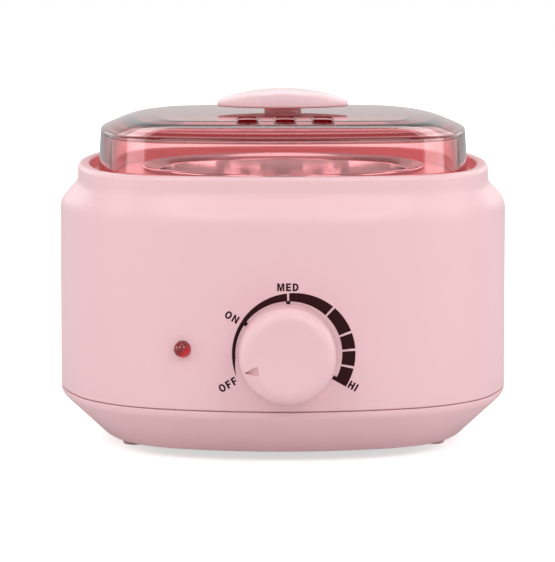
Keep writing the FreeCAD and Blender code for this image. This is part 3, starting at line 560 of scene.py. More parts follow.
def rows_tree():
    """Copies of a piece in rows and columns about the middle."""
    grown = GrownPiece("rows and columns", columns="Int", rows="Int", pitch_x="Float", pitch_y="Float")
    given, index = grown.given, grown.index
    x = (index % given.columns - (given.columns - 1.0) * 0.5) * given.pitch_x
    y = ((index / given.columns).floor() - (given.rows - 1.0) * 0.5) * given.pitch_y
    return grown.end_with_copies(given.columns * given.rows, grown.vector(x, y))


def round_tree():
    """Copies of a piece evenly round the axis."""
    grown = GrownPiece("round the axis", count="Int", radius="Float", start="Float")
    given = grown.given
    turn = grown.index / given.count * FULL_TURN + given.start
    place = grown.vector(turn.cosine() * given.radius, turn.sine() * given.radius)
    return grown.end_with_copies(given.count, place)


def dial_tree():
    """Strip of the dial between two angles, from a circle out to a larger one set off sideways."""
    labels = ("start", "end", "inner", "outer", "shift", "middle_x", "middle_z", "point", "proud", "ink")
    grown = GrownPiece("dial strip", **dict.fromkeys(labels, "Float"))
    given = grown.given
    columns, rows = STRIP_POINTS
    sheet = grown.out("GeometryNodeMeshGrid", {
        "Size X": 1.0, "Size Y": 1.0, "Vertices X": columns, "Vertices Y": rows})
    across, up, _ = grown.parts(grown.out("GeometryNodeInputPosition"))
    along = across + 0.5
    outwards = up + 0.5
    angle = given.start + (given.end - given.start) * along
    cosine, sine = angle.cosine(), angle.sine()
    chord = (given.outer ** 2.0 - (given.shift * sine) ** 2.0).sqrt()
    far = given.shift * cosine + chord
    fullness = (along / given.point.at_least(NOTHING)).at_most(1.0).at_least(given.point.is_below(NOTHING))
    radius = far - (far - given.inner) * (1.0 - outwards) * fullness
    x = given.middle_x + radius * cosine
    z = given.middle_z + radius * sine
    bulge = (BODY_SIDE_RADIUS ** 2 - x ** 2.0).sqrt()
    place = grown.vector(x, BODY_SIDE_RADIUS - BODY_HALF - bulge - given.proud, z)
    laid = grown.out("GeometryNodeSetPosition", {"Geometry": sheet, "Position": place})
    thick = grown.out("GeometryNodeExtrudeMesh", {
        "Mesh": laid, "Offset": grown.vector(y=given.ink), "Offset Scale": 1.0, "Individual": False})
    both = grown.node("GeometryNodeJoinGeometry")
    for part in (laid, thick):
        grown.feed(both.inputs[0], part)
    return grown.end(both.outputs[0])


TURNING = turning_tree()
ROWS = rows_tree()
ROUND = round_tree()
DIAL = dial_tree()


# ---- Finishes ----
FINISHES = {}


def screen(*shade):
    """Screen colour, 0 to 255, as the linear value that a shader wants."""
    return tuple(((c / 255 + 0.055) / 1.055) ** 2.4 if c > 10 else c / 255 / 12.92 for c in shade) + (1.0,)


def tinted(shade, factor):
    return tuple(min(1.0, channel * factor) for channel in shade[:3]) + (1.0,)


class Finish(Nodes):
    """Principled material, its sockets set by name with words joined by underscores."""

    def __init__(self, name, **sockets):
        FINISHES[name] = material = bpy.data.materials.new(name)
        material.use_nodes = True
        super().__init__(material.node_tree)
        self.shader = self.tree.nodes["Principled BSDF"]
        self.put(**sockets)

    def put(self, **sockets):
        for label, value in sockets.items():
            self.feed(self.shader.inputs[label.replace("_", " ")], value)

    def drift(self, amount, shade, low, high):
        """Colour that drifts between two factors of a shade."""
        self.put(Base_Color=self.blended(amount, tinted(shade, low), tinted(shade, high)))

    def gloss(self, amount, roughness, swing):
        """Roughness that swings about its middle by a share of itself."""
        self.put(Roughness=self.ranged(amount, (roughness * (1 - swing), roughness * (1 + swing))))

    def bump(self, height, depth):
        self.put(Normal=self.out("ShaderNodeBump", {"Height": height, "Distance": depth}))


def mottled(name, shade, drift, roughness, grain, depth, **sockets):
    """Finish whose colour drifts a little and whose gloss and surface carry a fine grain."""
    finish = Finish(name, **sockets)
    fine = finish.noise(grain, 3.0)
    finish.drift(finish.noise(22.0), shade, 1 - drift, 1 + drift)
    finish.gloss(fine, roughness, 0.12)
    finish.bump(fine, depth)


def spun_metal(name, shade, roughness, pitch, depth):
    """Metal turned on a lathe: fine rings about the axis, brighter and duller."""
    finish = Finish(name, Metallic=1.0)
    x, y, z = finish.parts(finish.place())
    rings = finish.noise(1 / pitch, 4.0, finish.vector(finish.length(finish.vector(x, y)), z))
    finish.drift(rings, shade, 0.94, 1.04)
    finish.gloss(rings, roughness, 0.3)
    finish.bump(rings, depth)


def near_edge(finish, x, y, z):
    """1 in the lid's outer edge and round its slots, where a deeper, less clear tint is painted, standing in
    for light that runs far through the plastic.
    """
    edge = finish.ranged(abs(z - (LID_EDGE_Z - 0.1 * MM)), (1.0, 0.0), EDGE_TINT)
    across = abs(x - round(x / SLOT_PITCH) * SLOT_PITCH) - SLOT_SIZE[0] / 2
    along = abs(y - SLOT_Y) - SLOT_SIZE[1] / 2
    slot = across.at_least(along).is_below(SLOT_TINT) * abs(x).is_below(1.5 * SLOT_PITCH)
    return edge.at_least(slot)


def clear_plastic(name, shade, density, haze, painted_top_shade, painted_edge_shade, shadow_shade):
    """Tinted clear moulding, deeper the more plastic light runs through. Its outer edge and the edges round
    its slots carry a painted deep crimson for light that runs far through them, and its top a painted pinker
    tint.
    """
    finish = Finish(name, IOR=1.49, Coat_IOR=1.7, Coat_Roughness=0.02)
    x, y, z = finish.parts(finish.place())
    edge = near_edge(finish, x, y, z)
    # 1 on the top, which gets a painted pinker tint standing in for how the light shows on it
    on_top = finish.ranged(z, over=(LID_EDGE_Z - 0.6 * MM, LID_EDGE_Z + 0.2 * MM))
    flow = finish.noise(60.0)
    # painted pinker top, and painted deep crimson in the edge and round the slots, which are made less clear
    # there too
    finish.put(Coat_Weight=finish.ranged(on_top, (LID_COAT, 0.0)),
               Base_Color=finish.blended(edge, finish.blended(on_top, WHITE, painted_top_shade), painted_edge_shade),
               Transmission_Weight=finish.ranged(edge, (1.0, EDGE_CLEARNESS)))
    finish.gloss(flow, haze, 0.5)
    finish.bump(flow, 0.004 * MM)
    output = finish.tree.nodes["Material Output"].inputs
    absorbing = finish.out("ShaderNodeVolumeAbsorption", {"Color": shade, "Density": density})
    finish.feed(output["Volume"], absorbing)
    shadow = finish.out("ShaderNodeLightPath", output="Is Shadow Ray")
    passing = finish.out("ShaderNodeBsdfTransparent", {"Color": shadow_shade})
    lit = finish.out("ShaderNodeMixShader", {0: shadow, 1: finish.shader.outputs[0], 2: passing})
    finish.feed(output["Surface"], lit)


def soft_felt(name, shade):
    finish = Finish(name, Roughness=0.95, Sheen_Weight=0.3)
    finish.drift(finish.noise(160.0, 3.0), shade, 0.8, 1.1)
    finish.bump(finish.noise(900.0, 5.0), 0.4 * MM)


def lit_lens(name, shade, painted_glow):
    """Clear red dome with painted light: painted shade deep at its upper left, and a painted glow at its
    lower right where light passing through it would leave.
    """
    finish = Finish(name, Specular_IOR_Level=0.8)
    across = finish.out("ShaderNodeVectorMath", {0: finish.place(), 1: (1.0, 0.0, -1.0)}, "Value",
                        operation="DOT_PRODUCT")
    middle = LAMP_X - LAMP_Z
    # share of the painted glow: 0 in the painted shade at the upper left, 1 towards the lower right
    share = finish.ranged(across, over=(middle - 0.5 * MM, middle + 4.0 * MM))
    finish.put(Base_Color=finish.blended(share, shade, painted_glow),
               Roughness=finish.ranged(finish.noise(700.0), (0.07, 0.12)))


mottled("body_pink", screen(232, 191, 195), 0.008, 0.36, 1400.0, 0.004 * MM, Specular_IOR_Level=0.45)
mottled("handle_pink", screen(252, 227, 231), 0.008, 0.28, 1400.0, 0.003 * MM)
# lid: painted deep crimson in its edges and round its slots, and a painted pinker top
clear_plastic("lid_rose", (0.864, 0.17, 0.196, 1.0), 275.0, 0.02, painted_top_shade=(0.98, 0.76, 0.78, 1.0),
              painted_edge_shade=screen(128, 20, 28), shadow_shade=(0.97, 0.86, 0.87, 1.0))
# lens: deep red, with painted shade at its upper left and a painted glow at its lower right
lit_lens("lens_red", screen(128, 4, 14), screen(232, 42, 54))
spun_metal("pot_metal", (0.84, 0.84, 0.85, 1.0), 0.09, 0.9 * MM, 0.004 * MM)
spun_metal("well_metal", (0.62, 0.62, 0.64, 1.0), 0.34, 1.2 * MM, 0.012 * MM)
mottled("steel", (0.58, 0.58, 0.59, 1.0), 0.06, 0.3, 900.0, 0.004 * MM, Metallic=1.0)
mottled("brass", (0.78, 0.58, 0.26, 1.0), 0.06, 0.28, 900.0, 0.004 * MM, Metallic=1.0)
mottled("ceramic", screen(232, 226, 214), 0.03, 0.7, 500.0, 0.02 * MM)
soft_felt("felt", screen(222, 216, 200))
mottled("rubber", screen(222, 178, 184), 0.05, 0.6, 600.0, 0.02 * MM)
mottled("silicone", screen(190, 66, 48), 0.05, 0.6, 600.0, 0.01 * MM)
mottled("black_plastic", screen(34, 33, 34), 0.1, 0.5, 900.0, 0.012 * MM)
mottled("lamp_glass", screen(235, 226, 214), 0.02, 0.08, 700.0, 0.002 * MM, Transmission_Weight=0.85)
mottled("print", screen(46, 12, 13), 0.06, 0.5, 1200.0, 0.003 * MM, Specular_IOR_Level=0.12)


# ---- Making and placing pieces ----
def turned(name, profile, finish="steel", steps=96):
    """Piece turned about Z from (radius, height) points, from axis to axis or once round a loop."""
    piece = mesh_piece(name, [(radius, 0.0, height) for radius, height in profile])
    TURNING.run(piece, finish, points=len(profile), steps=steps, weld=MM / 500)
    return tidied(piece)


def plug(radius, low, high, steps=48):
    """Plain cylinder for cutting a round hole."""
    return turned("hole", [(0, low), (radius, low), (radius, high), (0, high)], steps=steps)


def in_rows(piece, columns, rows, pitch_x, pitch_y, finish="steel"):
    return ROWS.run(piece, finish, columns=columns, rows=rows, pitch_x=float(pitch_x), pitch_y=float(pitch_y))


def at_pillars(piece, finish="steel"):
    return in_rows(piece, 2, 2, 2 * SCREW_PLACE, 2 * SCREW_PLACE, finish)


def round_the_well(piece):
    return ROUND.run(piece, "steel", count=3, radius=WELL_SCREW_PLACE, start=radians(30))


def dressed(piece, body, slot, *nodes, finish=None):
    """Give a piece its finish and its place in the frame."""
    piece.data.materials.clear()
    piece.data.materials.append(FINISHES[finish or slot])
    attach(piece, body)
    if nodes:
        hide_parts(*nodes)
    return piece


# ---- Housing ----
def housing_ring(inset, z, grow=0.0):
    """Ring of the side, shoulder, rim or deck, by its distance in from the body's outline."""
    body = soft_square(BODY, grow, z)
    rim = soft_square(LID, RIM_GROW + grow - max(0.0, inset - RIM_INSET), z)
    return body + (rim - body) * min(1.0, inset / RIM_INSET)


def housing_rings():
    """From the seam up the outside, over the rim, across the deck and down the inside."""
    wall_top = SHOULDER_Z - 5 * MM
    deck_edge = RIM_INSET + RIM_WIDTH
    section = rounded_path([
        (0, wall_top, 0), (0, SHOULDER_Z, 8 * MM), (RIM_INSET, RIM_FOOT_Z, 5 * MM),
        (RIM_INSET, RIM_TOP_Z, 2 * MM), (deck_edge, RIM_TOP_Z, 1 * MM), (deck_edge, DECK_Z, 0.8 * MM),
        (deck_edge + 3 * MM, DECK_Z, 0)], 10)
    rings = [housing_ring(BREAK, SEAM_Z), housing_ring(BREAK / 4, SEAM_Z + BREAK / 4)]
    rings += [housing_ring(0, z) for z in spread(SEAM_Z + BREAK, wall_top, 18)]
    rings += [housing_ring(inset, z) for inset, z in section]
    edge = rings[-1]
    lip = circle_like(edge, WELL_MOUTH + 0.6 * MM, DECK_Z)
    rings += [edge + (lip - edge) * step / 4 for step in range(1, 5)]
    rings.append(circle_like(edge, WELL_MOUTH + 0.2 * MM, DECK_Z - 0.2 * MM))
    rings += [circle_like(edge, WELL_MOUTH, z) for z in (DECK_Z - 0.6 * MM, CEILING_Z)]
    rings.append(housing_ring(RIM_INSET, CEILING_Z, -WALL))
    return rings + [housing_ring(0, z, -WALL) for z in spread(SHOULDER_Z, SEAM_Z, 12) + [SEAM_Z]]


def pillars(name, profile):
    return at_pillars(turned(name, profile + profile[:1], "body_pink", 32), "body_pink")


def inlet_outline(grow, ease=0.0):
    """Round-ended outline of the mains inlet's socket, grown all round."""
    width, tall = (size + 2 * grow for size in INLET_SIZE)
    return rounded_oblong(width, tall, tall / 2 - ease, 14)


def upper_housing():
    shell = lofted("housing_moulding", housing_rings(), closed=True)
    recess = prism("recess", inlet_outline(INLET_FLANGE + PLAY), 0, 4 * MM)
    opening = prism("opening", inlet_outline(PLAY), -4 * MM, 4 * MM)
    cut(shell, move(plug(5.2 * MM, -4 * MM, 3 * MM), KNOB_SEAT),
        move(plug(LENS_RADIUS + 0.15 * MM, -5 * MM, 3 * MM), LAMP_SEAT),
        move(recess, INLET_SEAT), move(opening, INLET_SEAT))
    bore_end = PILLAR_FOOT_Z + 14.6 * MM
    posts = pillars("pillar", [
        (SCREW_RADIUS, PILLAR_FOOT_Z), (PILLAR_RADIUS, PILLAR_FOOT_Z), (PILLAR_RADIUS, CEILING_Z),
        (MM / 10, CEILING_Z), (MM / 10, bore_end), (SCREW_RADIUS, bore_end)])
    return joined("housing_moulding", shell, posts)


def base_cover():
    """Tapered tray with a land that stands up behind the seam."""
    inside_floor = FLOOR_Z + WALL
    joint = SEAM_Z - SEAM_GAP
    section = rounded_path([
        (0, joint - BREAK, 0), (0, BAND_Z, 4 * MM), (BASE_TAPER, FLOOR_Z, 2 * MM),
        (BASE_TAPER + 8 * MM, FLOOR_Z, 0)], 9)
    places = [(BASE_TAPER + WALL, inside_floor), (WALL, BAND_Z), (WALL, SEAM_Z), (SEAM_LAND, SEAM_Z),
              (SEAM_LAND, joint), (BREAK, joint), (BREAK / 4, joint - BREAK / 4), *section]
    tray = lofted("base_tray", [soft_square(BODY, -inset, z) for inset, z in places])
    vent = rounded_oblong(*VENT_SIZE, VENT_SIZE[0] / 2 - MM / 100, 6)
    through = (FLOOR_Z - MM, inside_floor + MM)
    vents = in_rows(prism("vents", vent, *through), VENTS, 1, VENT_PITCH, 0)
    foot_holes = in_rows(plug(FOOT_RADIUS + PLAY, FLOOR_Z - MM, FLOOR_Z + FOOT_SINK), 2, 2, *FOOT_PITCH)
    cut(tray, vents, foot_holes, at_pillars(plug(HEAD_RADIUS + PLAY, *through)))
    recess, bore, seat = HEAD_RADIUS + PLAY, SCREW_RADIUS + PLAY, FLOOR_Z + 7 * MM
    foot = FLOOR_Z + WALL / 2
    posts = pillars("posts", [(recess, foot), (PILLAR_RADIUS, foot), (PILLAR_RADIUS, PILLAR_FOOT_Z),
                              (bore, PILLAR_FOOT_Z), (bore, seat), (recess, seat)])
    return joined("base_tray", tray, posts)


def rubber_feet():
    top = FLOOR_Z + FOOT_SINK
    profile = rounded_path([(0, 0, 0), (4.4 * MM, 0, 0.8 * MM), (FOOT_RADIUS, top, 0), (0, top, 0)], 5)
    return in_rows(turned("feet", profile, "rubber", 40), 2, 2, *FOOT_PITCH, "rubber")


# ---- Screws ----
def pan_screw(name, node):
    """Pan-head screw driven upwards, with a cross recess in its head."""
    crown_z, tip_z = lowest(node).z, highest(node).z
    seat = crown_z + HEAD_HEIGHT
    profile = rounded_path([
        (0, crown_z, 0), (HEAD_RADIUS, crown_z, 1.4 * MM), (HEAD_RADIUS, seat, 0.1 * MM),
        (SCREW_RADIUS, seat, 0), (SCREW_RADIUS, tip_z - MM, 0), (0, tip_z, 0)], 5)
    piece = turned(name, profile, "steel", 32)
    for long, wide in (CROSS, CROSS[::-1]):
        corners = [(x * long / 2, y * wide / 2) for x, y in ((1, 1), (-1, 1), (-1, -1), (1, -1))]
        rings = [at_height([(x * share, y * share) for x, y in corners], z)
                 for share, z in ((1.1, crown_z - MM / 5), (0.6, crown_z + 1.2 * MM))]
        cut(piece, lofted("driver", rings))
    return piece


def base_screws():
    return at_pillars(pan_screw("base_screw_set", "base_screws"))


def handle_screws():
    return in_rows(pan_screw("handle_screw_pair", "handle_screws"), 2, 1, 2 * HANDLE_SCREW_X, 0)


def well_screws():
    return round_the_well(pan_screw("well_screw_set", "well_screws"))


# ---- Pot and well ----
def vessel(name, node, wall, foot, mouth, flange, finish, steps, arc_steps):
    """Spun vessel: across its floor, up its wall, round the flange given and back down the outside."""
    under, top = lowest(node).z, highest(node).z
    profile = rounded_path([
        (0, under + wall, 0), (foot, under + wall, POT_CORNER), (mouth, top, 0.5 * MM), *flange,
        (mouth + wall, top - wall, 0.3 * MM), (foot + wall, under, POT_CORNER + wall),
        (0, under, 0)], arc_steps)
    return turned(name, profile, finish, steps)


def wax_pot():
    """Spun bucket with a rounded lip, a flange that drains inwards and a hem folded under its edge."""
    top = highest("wax_pot").z
    hem = POT_FLANGE - HEM_WIDTH
    hem_z = top - POT_WALL - HEM_DEPTH
    return vessel("spun_pot", "wax_pot", POT_WALL, POT_FOOT, POT_MOUTH, [
        (POT_FLANGE, top + FLANGE_RISE, 0.9 * MM), (POT_FLANGE, hem_z, 0.3 * MM), (hem, hem_z, 0.3 * MM),
        (hem, top - POT_WALL, 0.2 * MM)], "pot_metal", 192, 10)


def heating_well():
    top = highest("heating_well").z
    under_flange = top - WELL_WALL
    piece = vessel("heated_well", "heating_well", WELL_WALL, WELL_FOOT, WELL_MOUTH, [
        (WELL_FLANGE, top, 0.2 * MM), (WELL_FLANGE, under_flange, 0.2 * MM)], "well_metal", 160, 8)
    return cut(piece, round_the_well(plug(SCREW_RADIUS + PLAY, under_flange - MM, top + MM, 24)))


# ---- Controls ----
def pointer_cutter():
    """Triangular plug with sloping sides, its tip towards the knob's edge."""
    rim = KNOB_RADIUS - KNOB_EDGE
    corners = [Vector(corner) for corner in POINTER_CORNERS]
    middle = sum(corners, Vector((0, 0))) / 3
    falls = [KNOB_EDGE - sqrt(KNOB_EDGE ** 2 - max(0.0, corner.length - rim) ** 2) for corner in corners]
    rings = []
    for share, depth in ((1.3, -2 * MM), (0.84, POINTER_DEPTH)):
        spots = [middle + (corner - middle) * share for corner in corners]
        rings.append(np.array([(*spot, KNOB_FACE - fall - depth) for spot, fall in zip(spots, falls)]))
    return lofted("pointer", rings)


def knob_cap():
    """Turned cap with a rounded edge and a dished face, hollow behind, on a hub with a bore."""
    rim = KNOB_RADIUS - KNOB_EDGE
    bowl = arc_radius(rim, KNOB_DISH)
    flat = rim - 0.8 * MM
    dish = [(x, KNOB_FACE - KNOB_DISH + bowl - sqrt(bowl ** 2 - x ** 2)) for x in spread(0, flat, 12)]
    ceiling = KNOB_FACE - KNOB_WALL - KNOB_DISH
    edge = rounded_path([
        (flat, KNOB_FACE - 0.08 * MM, 0), (rim, KNOB_FACE, 0), (KNOB_RADIUS, KNOB_FACE, KNOB_EDGE),
        (KNOB_FOOT_RADIUS, KNOB_STANDOFF, 0.4 * MM), (KNOB_FOOT_RADIUS - KNOB_WALL, KNOB_STANDOFF, 0.3 * MM),
        (KNOB_RADIUS - KNOB_WALL, ceiling, 1 * MM), (HUB_RADIUS, ceiling, 0.5 * MM),
        (HUB_RADIUS, HUB_END, 0.2 * MM), (BORE_RADIUS, HUB_END, 0.2 * MM), (BORE_RADIUS, ceiling, 0),
        (0, ceiling, 0)], 12)
    piece = cut(turned("knob", dish + edge, "body_pink", 144), pointer_cutter())
    return move(piece, KNOB_SEAT)


def indicator_lens():
    dome = [(LENS_RADIUS * sin(a), LENS_PROUD + LENS_RADIUS * cos(a))
            for a in spread(0, pi / 2, 14)]
    profile = dome + [(LENS_RADIUS, LENS_PROUD), (LENS_RADIUS, -LENS_DEPTH), (LENS_BORE, -LENS_DEPTH),
                      (LENS_BORE, 0), (0, 0)]
    return move(turned("lamp_lens", profile, "lens_red", 64), LAMP_SEAT)


def mains_inlet():
    """Two-pole appliance inlet with a round-ended flange and socket."""
    socket_floor = INLET_WALL - INLET_DEPTH
    section = rounded_path([
        (-INLET_WALL, -INLET_DEPTH, 0), (0, -INLET_DEPTH, 0.6 * MM), (0, 0, 0), (INLET_FLANGE, 0, 0.2 * MM),
        (INLET_FLANGE, INLET_PROUD, 0.6 * MM), (-INLET_WALL, INLET_PROUD, 0.6 * MM),
        (-INLET_WALL, socket_floor, 0.4 * MM), (-2 * INLET_WALL, socket_floor, 0)], 5)
    piece = lofted("inlet_socket", [at_height(inlet_outline(grow, MM / 100), z) for grow, z in section])
    cut(piece, in_rows(plug(PIN_RADIUS, -INLET_DEPTH - MM, -MM, 24), 2, 1, PIN_PITCH, 0, "brass"))
    return move(piece, INLET_SEAT)


def inlet_pins():
    """Two round pins with rounded tips and flat tails."""
    tip, tail = INLET_PROUD - 1.5 * MM, -INLET_DEPTH - 8 * MM
    profile = rounded_path([
        (0, tail, 0), (PIN_RADIUS, tail, 0.2 * MM), (PIN_RADIUS, tip, MM), (0, tip, 0)], 6)
    return move(in_rows(turned("pins", profile, "brass", 24), 2, 1, PIN_PITCH, 0, "brass"), INLET_SEAT)


# ---- Dial ----
def panel_y(x):
    return BODY_SIDE_RADIUS - BODY_HALF - sqrt(BODY_SIDE_RADIUS ** 2 - x ** 2)


def dial_strip(start, end, inner, outer, shift=0.0, point=0.0):
    strip = mesh_piece("strip", [(0, 0, 0)])
    DIAL.run(strip, "print", start=radians(start), end=radians(end), inner=inner, outer=outer, shift=shift,
             middle_x=DIAL_INNER[0], middle_z=DIAL_INNER[1], point=point, proud=3 * INK, ink=2 * INK)
    return tidied(strip)


def straight_letters():
    """Outlines of the letters with straight strokes, one letter height tall."""
    t, bar = STROKE, STROKE * 0.92
    low, high = 0.5 - bar / 2, 0.5 + bar / 2
    slim, thin = t * 0.95, t * 0.9
    letters = {
        "E": [(0, 0), (0.64, 0), (0.64, bar), (t, bar), (t, low), (0.58, low), (0.58, high), (t, high),
              (t, 1 - bar), (0.63, 1 - bar), (0.63, 1), (0, 1)],
        "F": [(0, 0), (t, 0), (t, low - 0.03), (0.54, low - 0.03), (0.54, high - 0.03), (t, high - 0.03),
              (t, 1 - bar), (0.61, 1 - bar), (0.61, 1), (0, 1)],
        "M": [(0, 0), (thin, 0), (thin, 0.74), (0.36, 0), (0.54, 0), (0.9 - thin, 0.74), (0.9 - thin, 0),
              (0.9, 0), (0.9, 1), (0.62, 1), (0.45, 0.36), (0.28, 1), (0, 1)],
    }
    halves = {  # letters that look the same upside down
        "H": [(0, 0), (t, 0), (t, low), (0.74 - t, low), (0.74 - t, 0), (0.74, 0)],
        "I": [(0, 0), (t, 0)],
        "N": [(0, 0), (slim, 0), (slim, 0.66), (0.55, 0), (0.76, 0)],
    }
    for letter, half in halves.items():
        letters[letter] = half + [(half[-1][0] - x, 1 - y) for x, y in half]
    return letters


def round_letters():
    """Outer and inner outlines, point for point, of the letters with a hole."""
    letters = {"O": [], "D": []}
    for inset in (0.0, STROKE):
        wide, tall = 0.42 - inset, 0.5 - inset * 0.92
        letters["O"].append([(0.42 + wide * cos(a), 0.5 + (0.515 - 0.9 * inset) * sin(a))
                             for a in spread(0, FULL_TURN, 40)])
        bowl = [(0.32 + wide * cos(a), 0.5 + tall * sin(a))
                for a in (pi * (step / 37 - 0.5) for step in range(38))]
        letters["D"].append(bowl + [(inset, 0.5 + tall), (inset, 0.5 - tall)])
    return letters


def dial_word(word, place, turn):
    """Word in bold capitals, laid round the panel as thin solids of ink."""
    shapes = {letter: [outline] for letter, outline in straight_letters().items()} | round_letters()
    spin = Matrix.Rotation(radians(turn), 2)
    widths = [max(x for x, _ in shapes[letter][0]) for letter in word]
    tall, start = LETTER_HEIGHT, -(sum(widths) + LETTER_GAP * (len(word) - 1)) / 2
    letters = []
    for letter, width in zip(word, widths):
        rings = []
        for outline in shapes[letter]:
            flat = [spin @ Vector(((start + x) * tall, (y - 0.5) * tall)) for x, y in outline]
            spots = [(place[0] + point.x, place[1] + point.y) for point in flat]
            rings.append([np.array([(x, panel_y(x) - proud * INK, z) for x, z in spots]) for proud in (1, 3)])
        outside, *hole = rings
        letters.append(lofted(letter, outside + (hole[0][::-1] if hole else []), closed=bool(hole)))
        start += width + LETTER_GAP
    return joined(word, *letters)


def dial_print():
    """Crescent scale that widens clockwise, in steps, with a square tick at each named setting."""
    inner, outer = DIAL_INNER[2], DIAL_OUTER[2]
    shift = DIAL_OUTER[0] - DIAL_INNER[0]
    half_gap = degrees(DIAL_GAP / (inner + outer))
    stops = [DIAL_OFF]
    for gap in (DIAL_MIDDLE,) + DIAL_STEPS:
        stops += [gap + half_gap, gap - half_gap]
    stops.append(DIAL_HIGH)
    parts = [dial_strip(start, end, inner, outer, shift, DIAL_POINT if start == DIAL_OFF else 0.0)
             for start, end in zip(stops[::2], stops[1::2])]
    half_tick = degrees(TICK / (2 * inner))
    for middle in (DIAL_ON, DIAL_MIDDLE, DIAL_HIGH + half_tick):
        foot = inner - TICK * 0.9
        parts.append(dial_strip(middle + half_tick, middle - half_tick, foot, inner + TICK * 0.1))
    return joined("dial_print", *parts, *[dial_word(*word) for word in WORDS])


# ---- Lid ----
def lid_ring(inset, z, dome_share):
    """Ring of the lid; dome_share drops its far corners onto the crown's sphere."""
    ring = soft_square(LID, -inset, z)
    reach = (ring[:, :2] ** 2).sum(axis=1)
    ring[:, 2] -= dome_share * (reach - (LID[0] - inset) ** 2) / (2 * CROWN_BOWL)
    return ring


def crown_ring(share, drop):
    """Ring of the crowned top, shrunk to a share of the plateau's outline."""
    ring = soft_square(LID, -LID_CREASE, 0)
    if share < 0.5:
        ring = circle_like(ring, PLATEAU, 0)
    ring[:, :2] *= share
    ring[:, 2] = CROWN_Z - drop - (ring[:, :2] ** 2).sum(axis=1) / (2 * CROWN_BOWL)
    return ring


def lid_section(inset, drop, rounds):
    """Lid's section from its foot to the crease, moved in and down for the inside."""
    slope = LID_BEVEL[1] / LID_BEVEL[0]
    draft = LID_DRAFT / (LID_EDGE_Z - LID_FOOT_Z)
    edge_z = (LID_EDGE_Z - drop + slope * (inset - draft * drop)) if inset else LID_EDGE_Z
    edge_inset = inset + draft * (edge_z - LID_FOOT_Z)
    edge_round, bend_round, crease_round = rounds
    return rounded_path([
        (inset + draft * 2 * MM, LID_FOOT_Z + 2 * MM, 0), (edge_inset, edge_z, edge_round),
        (LID_BEND, LID_BEND_Z - drop, bend_round), (LID_CREASE, LID_TOP_Z - drop, crease_round),
        (LID_CREASE + 3 * MM, LID_TOP_Z - drop + 0.05 * MM, 0)], 10)


def lid_skin(inset, drop, rounds):
    """One side of the lid's wall, from the foot up to the middle of the crown."""
    rings = []
    for across, z in lid_section(inset, drop, rounds)[:-1]:
        share = min(1.0, max(0.0, (across - LID_DRAFT) / (LID_CREASE - LID_DRAFT)))
        rings.append(lid_ring(across, z, share))
    outer_share = 1 - 2 * MM / PLATEAU
    return rings + [crown_ring(outer_share * (1 - step / 16) + 0.012, drop) for step in range(17)]


def bevel_height(x, y):
    """Height of the lid's top above a point near the middle of its front side."""
    inset = LID[1] - hypot(x, y - (LID[1] - LID[0]))
    if inset < LID_BEND:
        return LID_EDGE_Z + (inset - LID_DRAFT) * LID_BEVEL[1] / LID_BEVEL[0]
    return LID_BEND_Z + (inset - LID_BEND) * LID_SLOPE[1] / LID_SLOPE[0]


def slot_ring(x, grow, rise):
    """Outline of a steam slot, grown all round, at a rise above the lid's slope."""
    width, length, corner = SLOT_SIZE
    spots = [(x + px, SLOT_Y + py)
             for px, py in rounded_oblong(width + 2 * grow, length + 2 * grow, corner + grow, 10)]
    return np.array([(*spot, bevel_height(*spot) + rise) for spot in spots])


def slot_bead(x):
    """Raised lip round a steam slot."""
    rings = [slot_ring(x, SLOT_LIP * 0.4 + SLOT_BEAD * (1 + cos(a)), SLOT_BEAD * sin(a))
             for a in spread(0, FULL_TURN, 10)]
    return lofted("bead", rings, closed=True)


def slot_cutter(x):
    """Plug for a steam slot, flared at the top into a rounded lip."""
    turns = [radians(a) for a in (0, 20, 40, 60)]
    stations = [(0, -8 * MM), *((SLOT_LIP * (1 - cos(a)), SLOT_LIP * (sin(a) - 1)) for a in turns),
                (SLOT_LIP * 1.6, 0.45 * SLOT_LIP), (SLOT_LIP * 1.6, 3 * MM)]
    return lofted("slot", [slot_ring(x, grow, rise) for grow, rise in stations])


def lid_shell():
    outside = lid_skin(0.0, 0.0, (1 * MM, 30 * MM, 7 * MM))
    inside = lid_skin(LID_WALL, LID_WALL, (1.6 * MM, 26 * MM, 7 * MM))
    foot = [soft_square(LID, -inset, LID_FOOT_Z + rise) for inset, rise in (
        (LID_WALL, 0.5 * MM), (LID_WALL - 0.15 * MM, 0.12 * MM), (LID_WALL - 0.5 * MM, 0),
        (0.5 * MM, 0), (0.15 * MM, 0.12 * MM), (0.02 * MM, 0.5 * MM))]
    piece = lofted("clear_lid", inside[::-1] + foot + outside)
    holes = in_rows(plug(SCREW_RADIUS + PLAY, CROWN_Z - 4 * MM, CROWN_Z + 2 * MM, 32), 2, 1,
                    2 * HANDLE_SCREW_X, 0)
    slots = [count * SLOT_PITCH for count in (-1, 0, 1)]
    merged(piece, [slot_bead(x) for x in slots], "UNION")
    return cut(piece, *[slot_cutter(x) for x in slots], holes)


# ---- Handle ----
def handle_outline(inset, share):
    """Pointed oval with round tips, moved in and then flattened to a share of its depth."""
    bow = arc_radius(HANDLE_LENGTH / 2, HANDLE_DEPTH / 2)
    offset = bow - HANDLE_DEPTH / 2
    tip = ((bow ** 2 - offset ** 2) - HANDLE_REACH ** 2) / (2 * (bow - HANDLE_REACH))
    tip_x = HANDLE_REACH - tip
    swing = atan2(tip_x, offset)
    side = [((bow - inset) * cos(a), (bow - inset) * sin(a) - offset)
            for a in spread(pi / 2 - swing, pi / 2 + swing, 30)]
    end = [((tip - inset) * cos(a) - tip_x, (tip - inset) * sin(a))
           for a in spread(pi / 2 + swing, pi * 1.5 - swing, 16)]
    return [(turn * x, turn * y * share) for turn in (1, -1) for x, y in side + end]


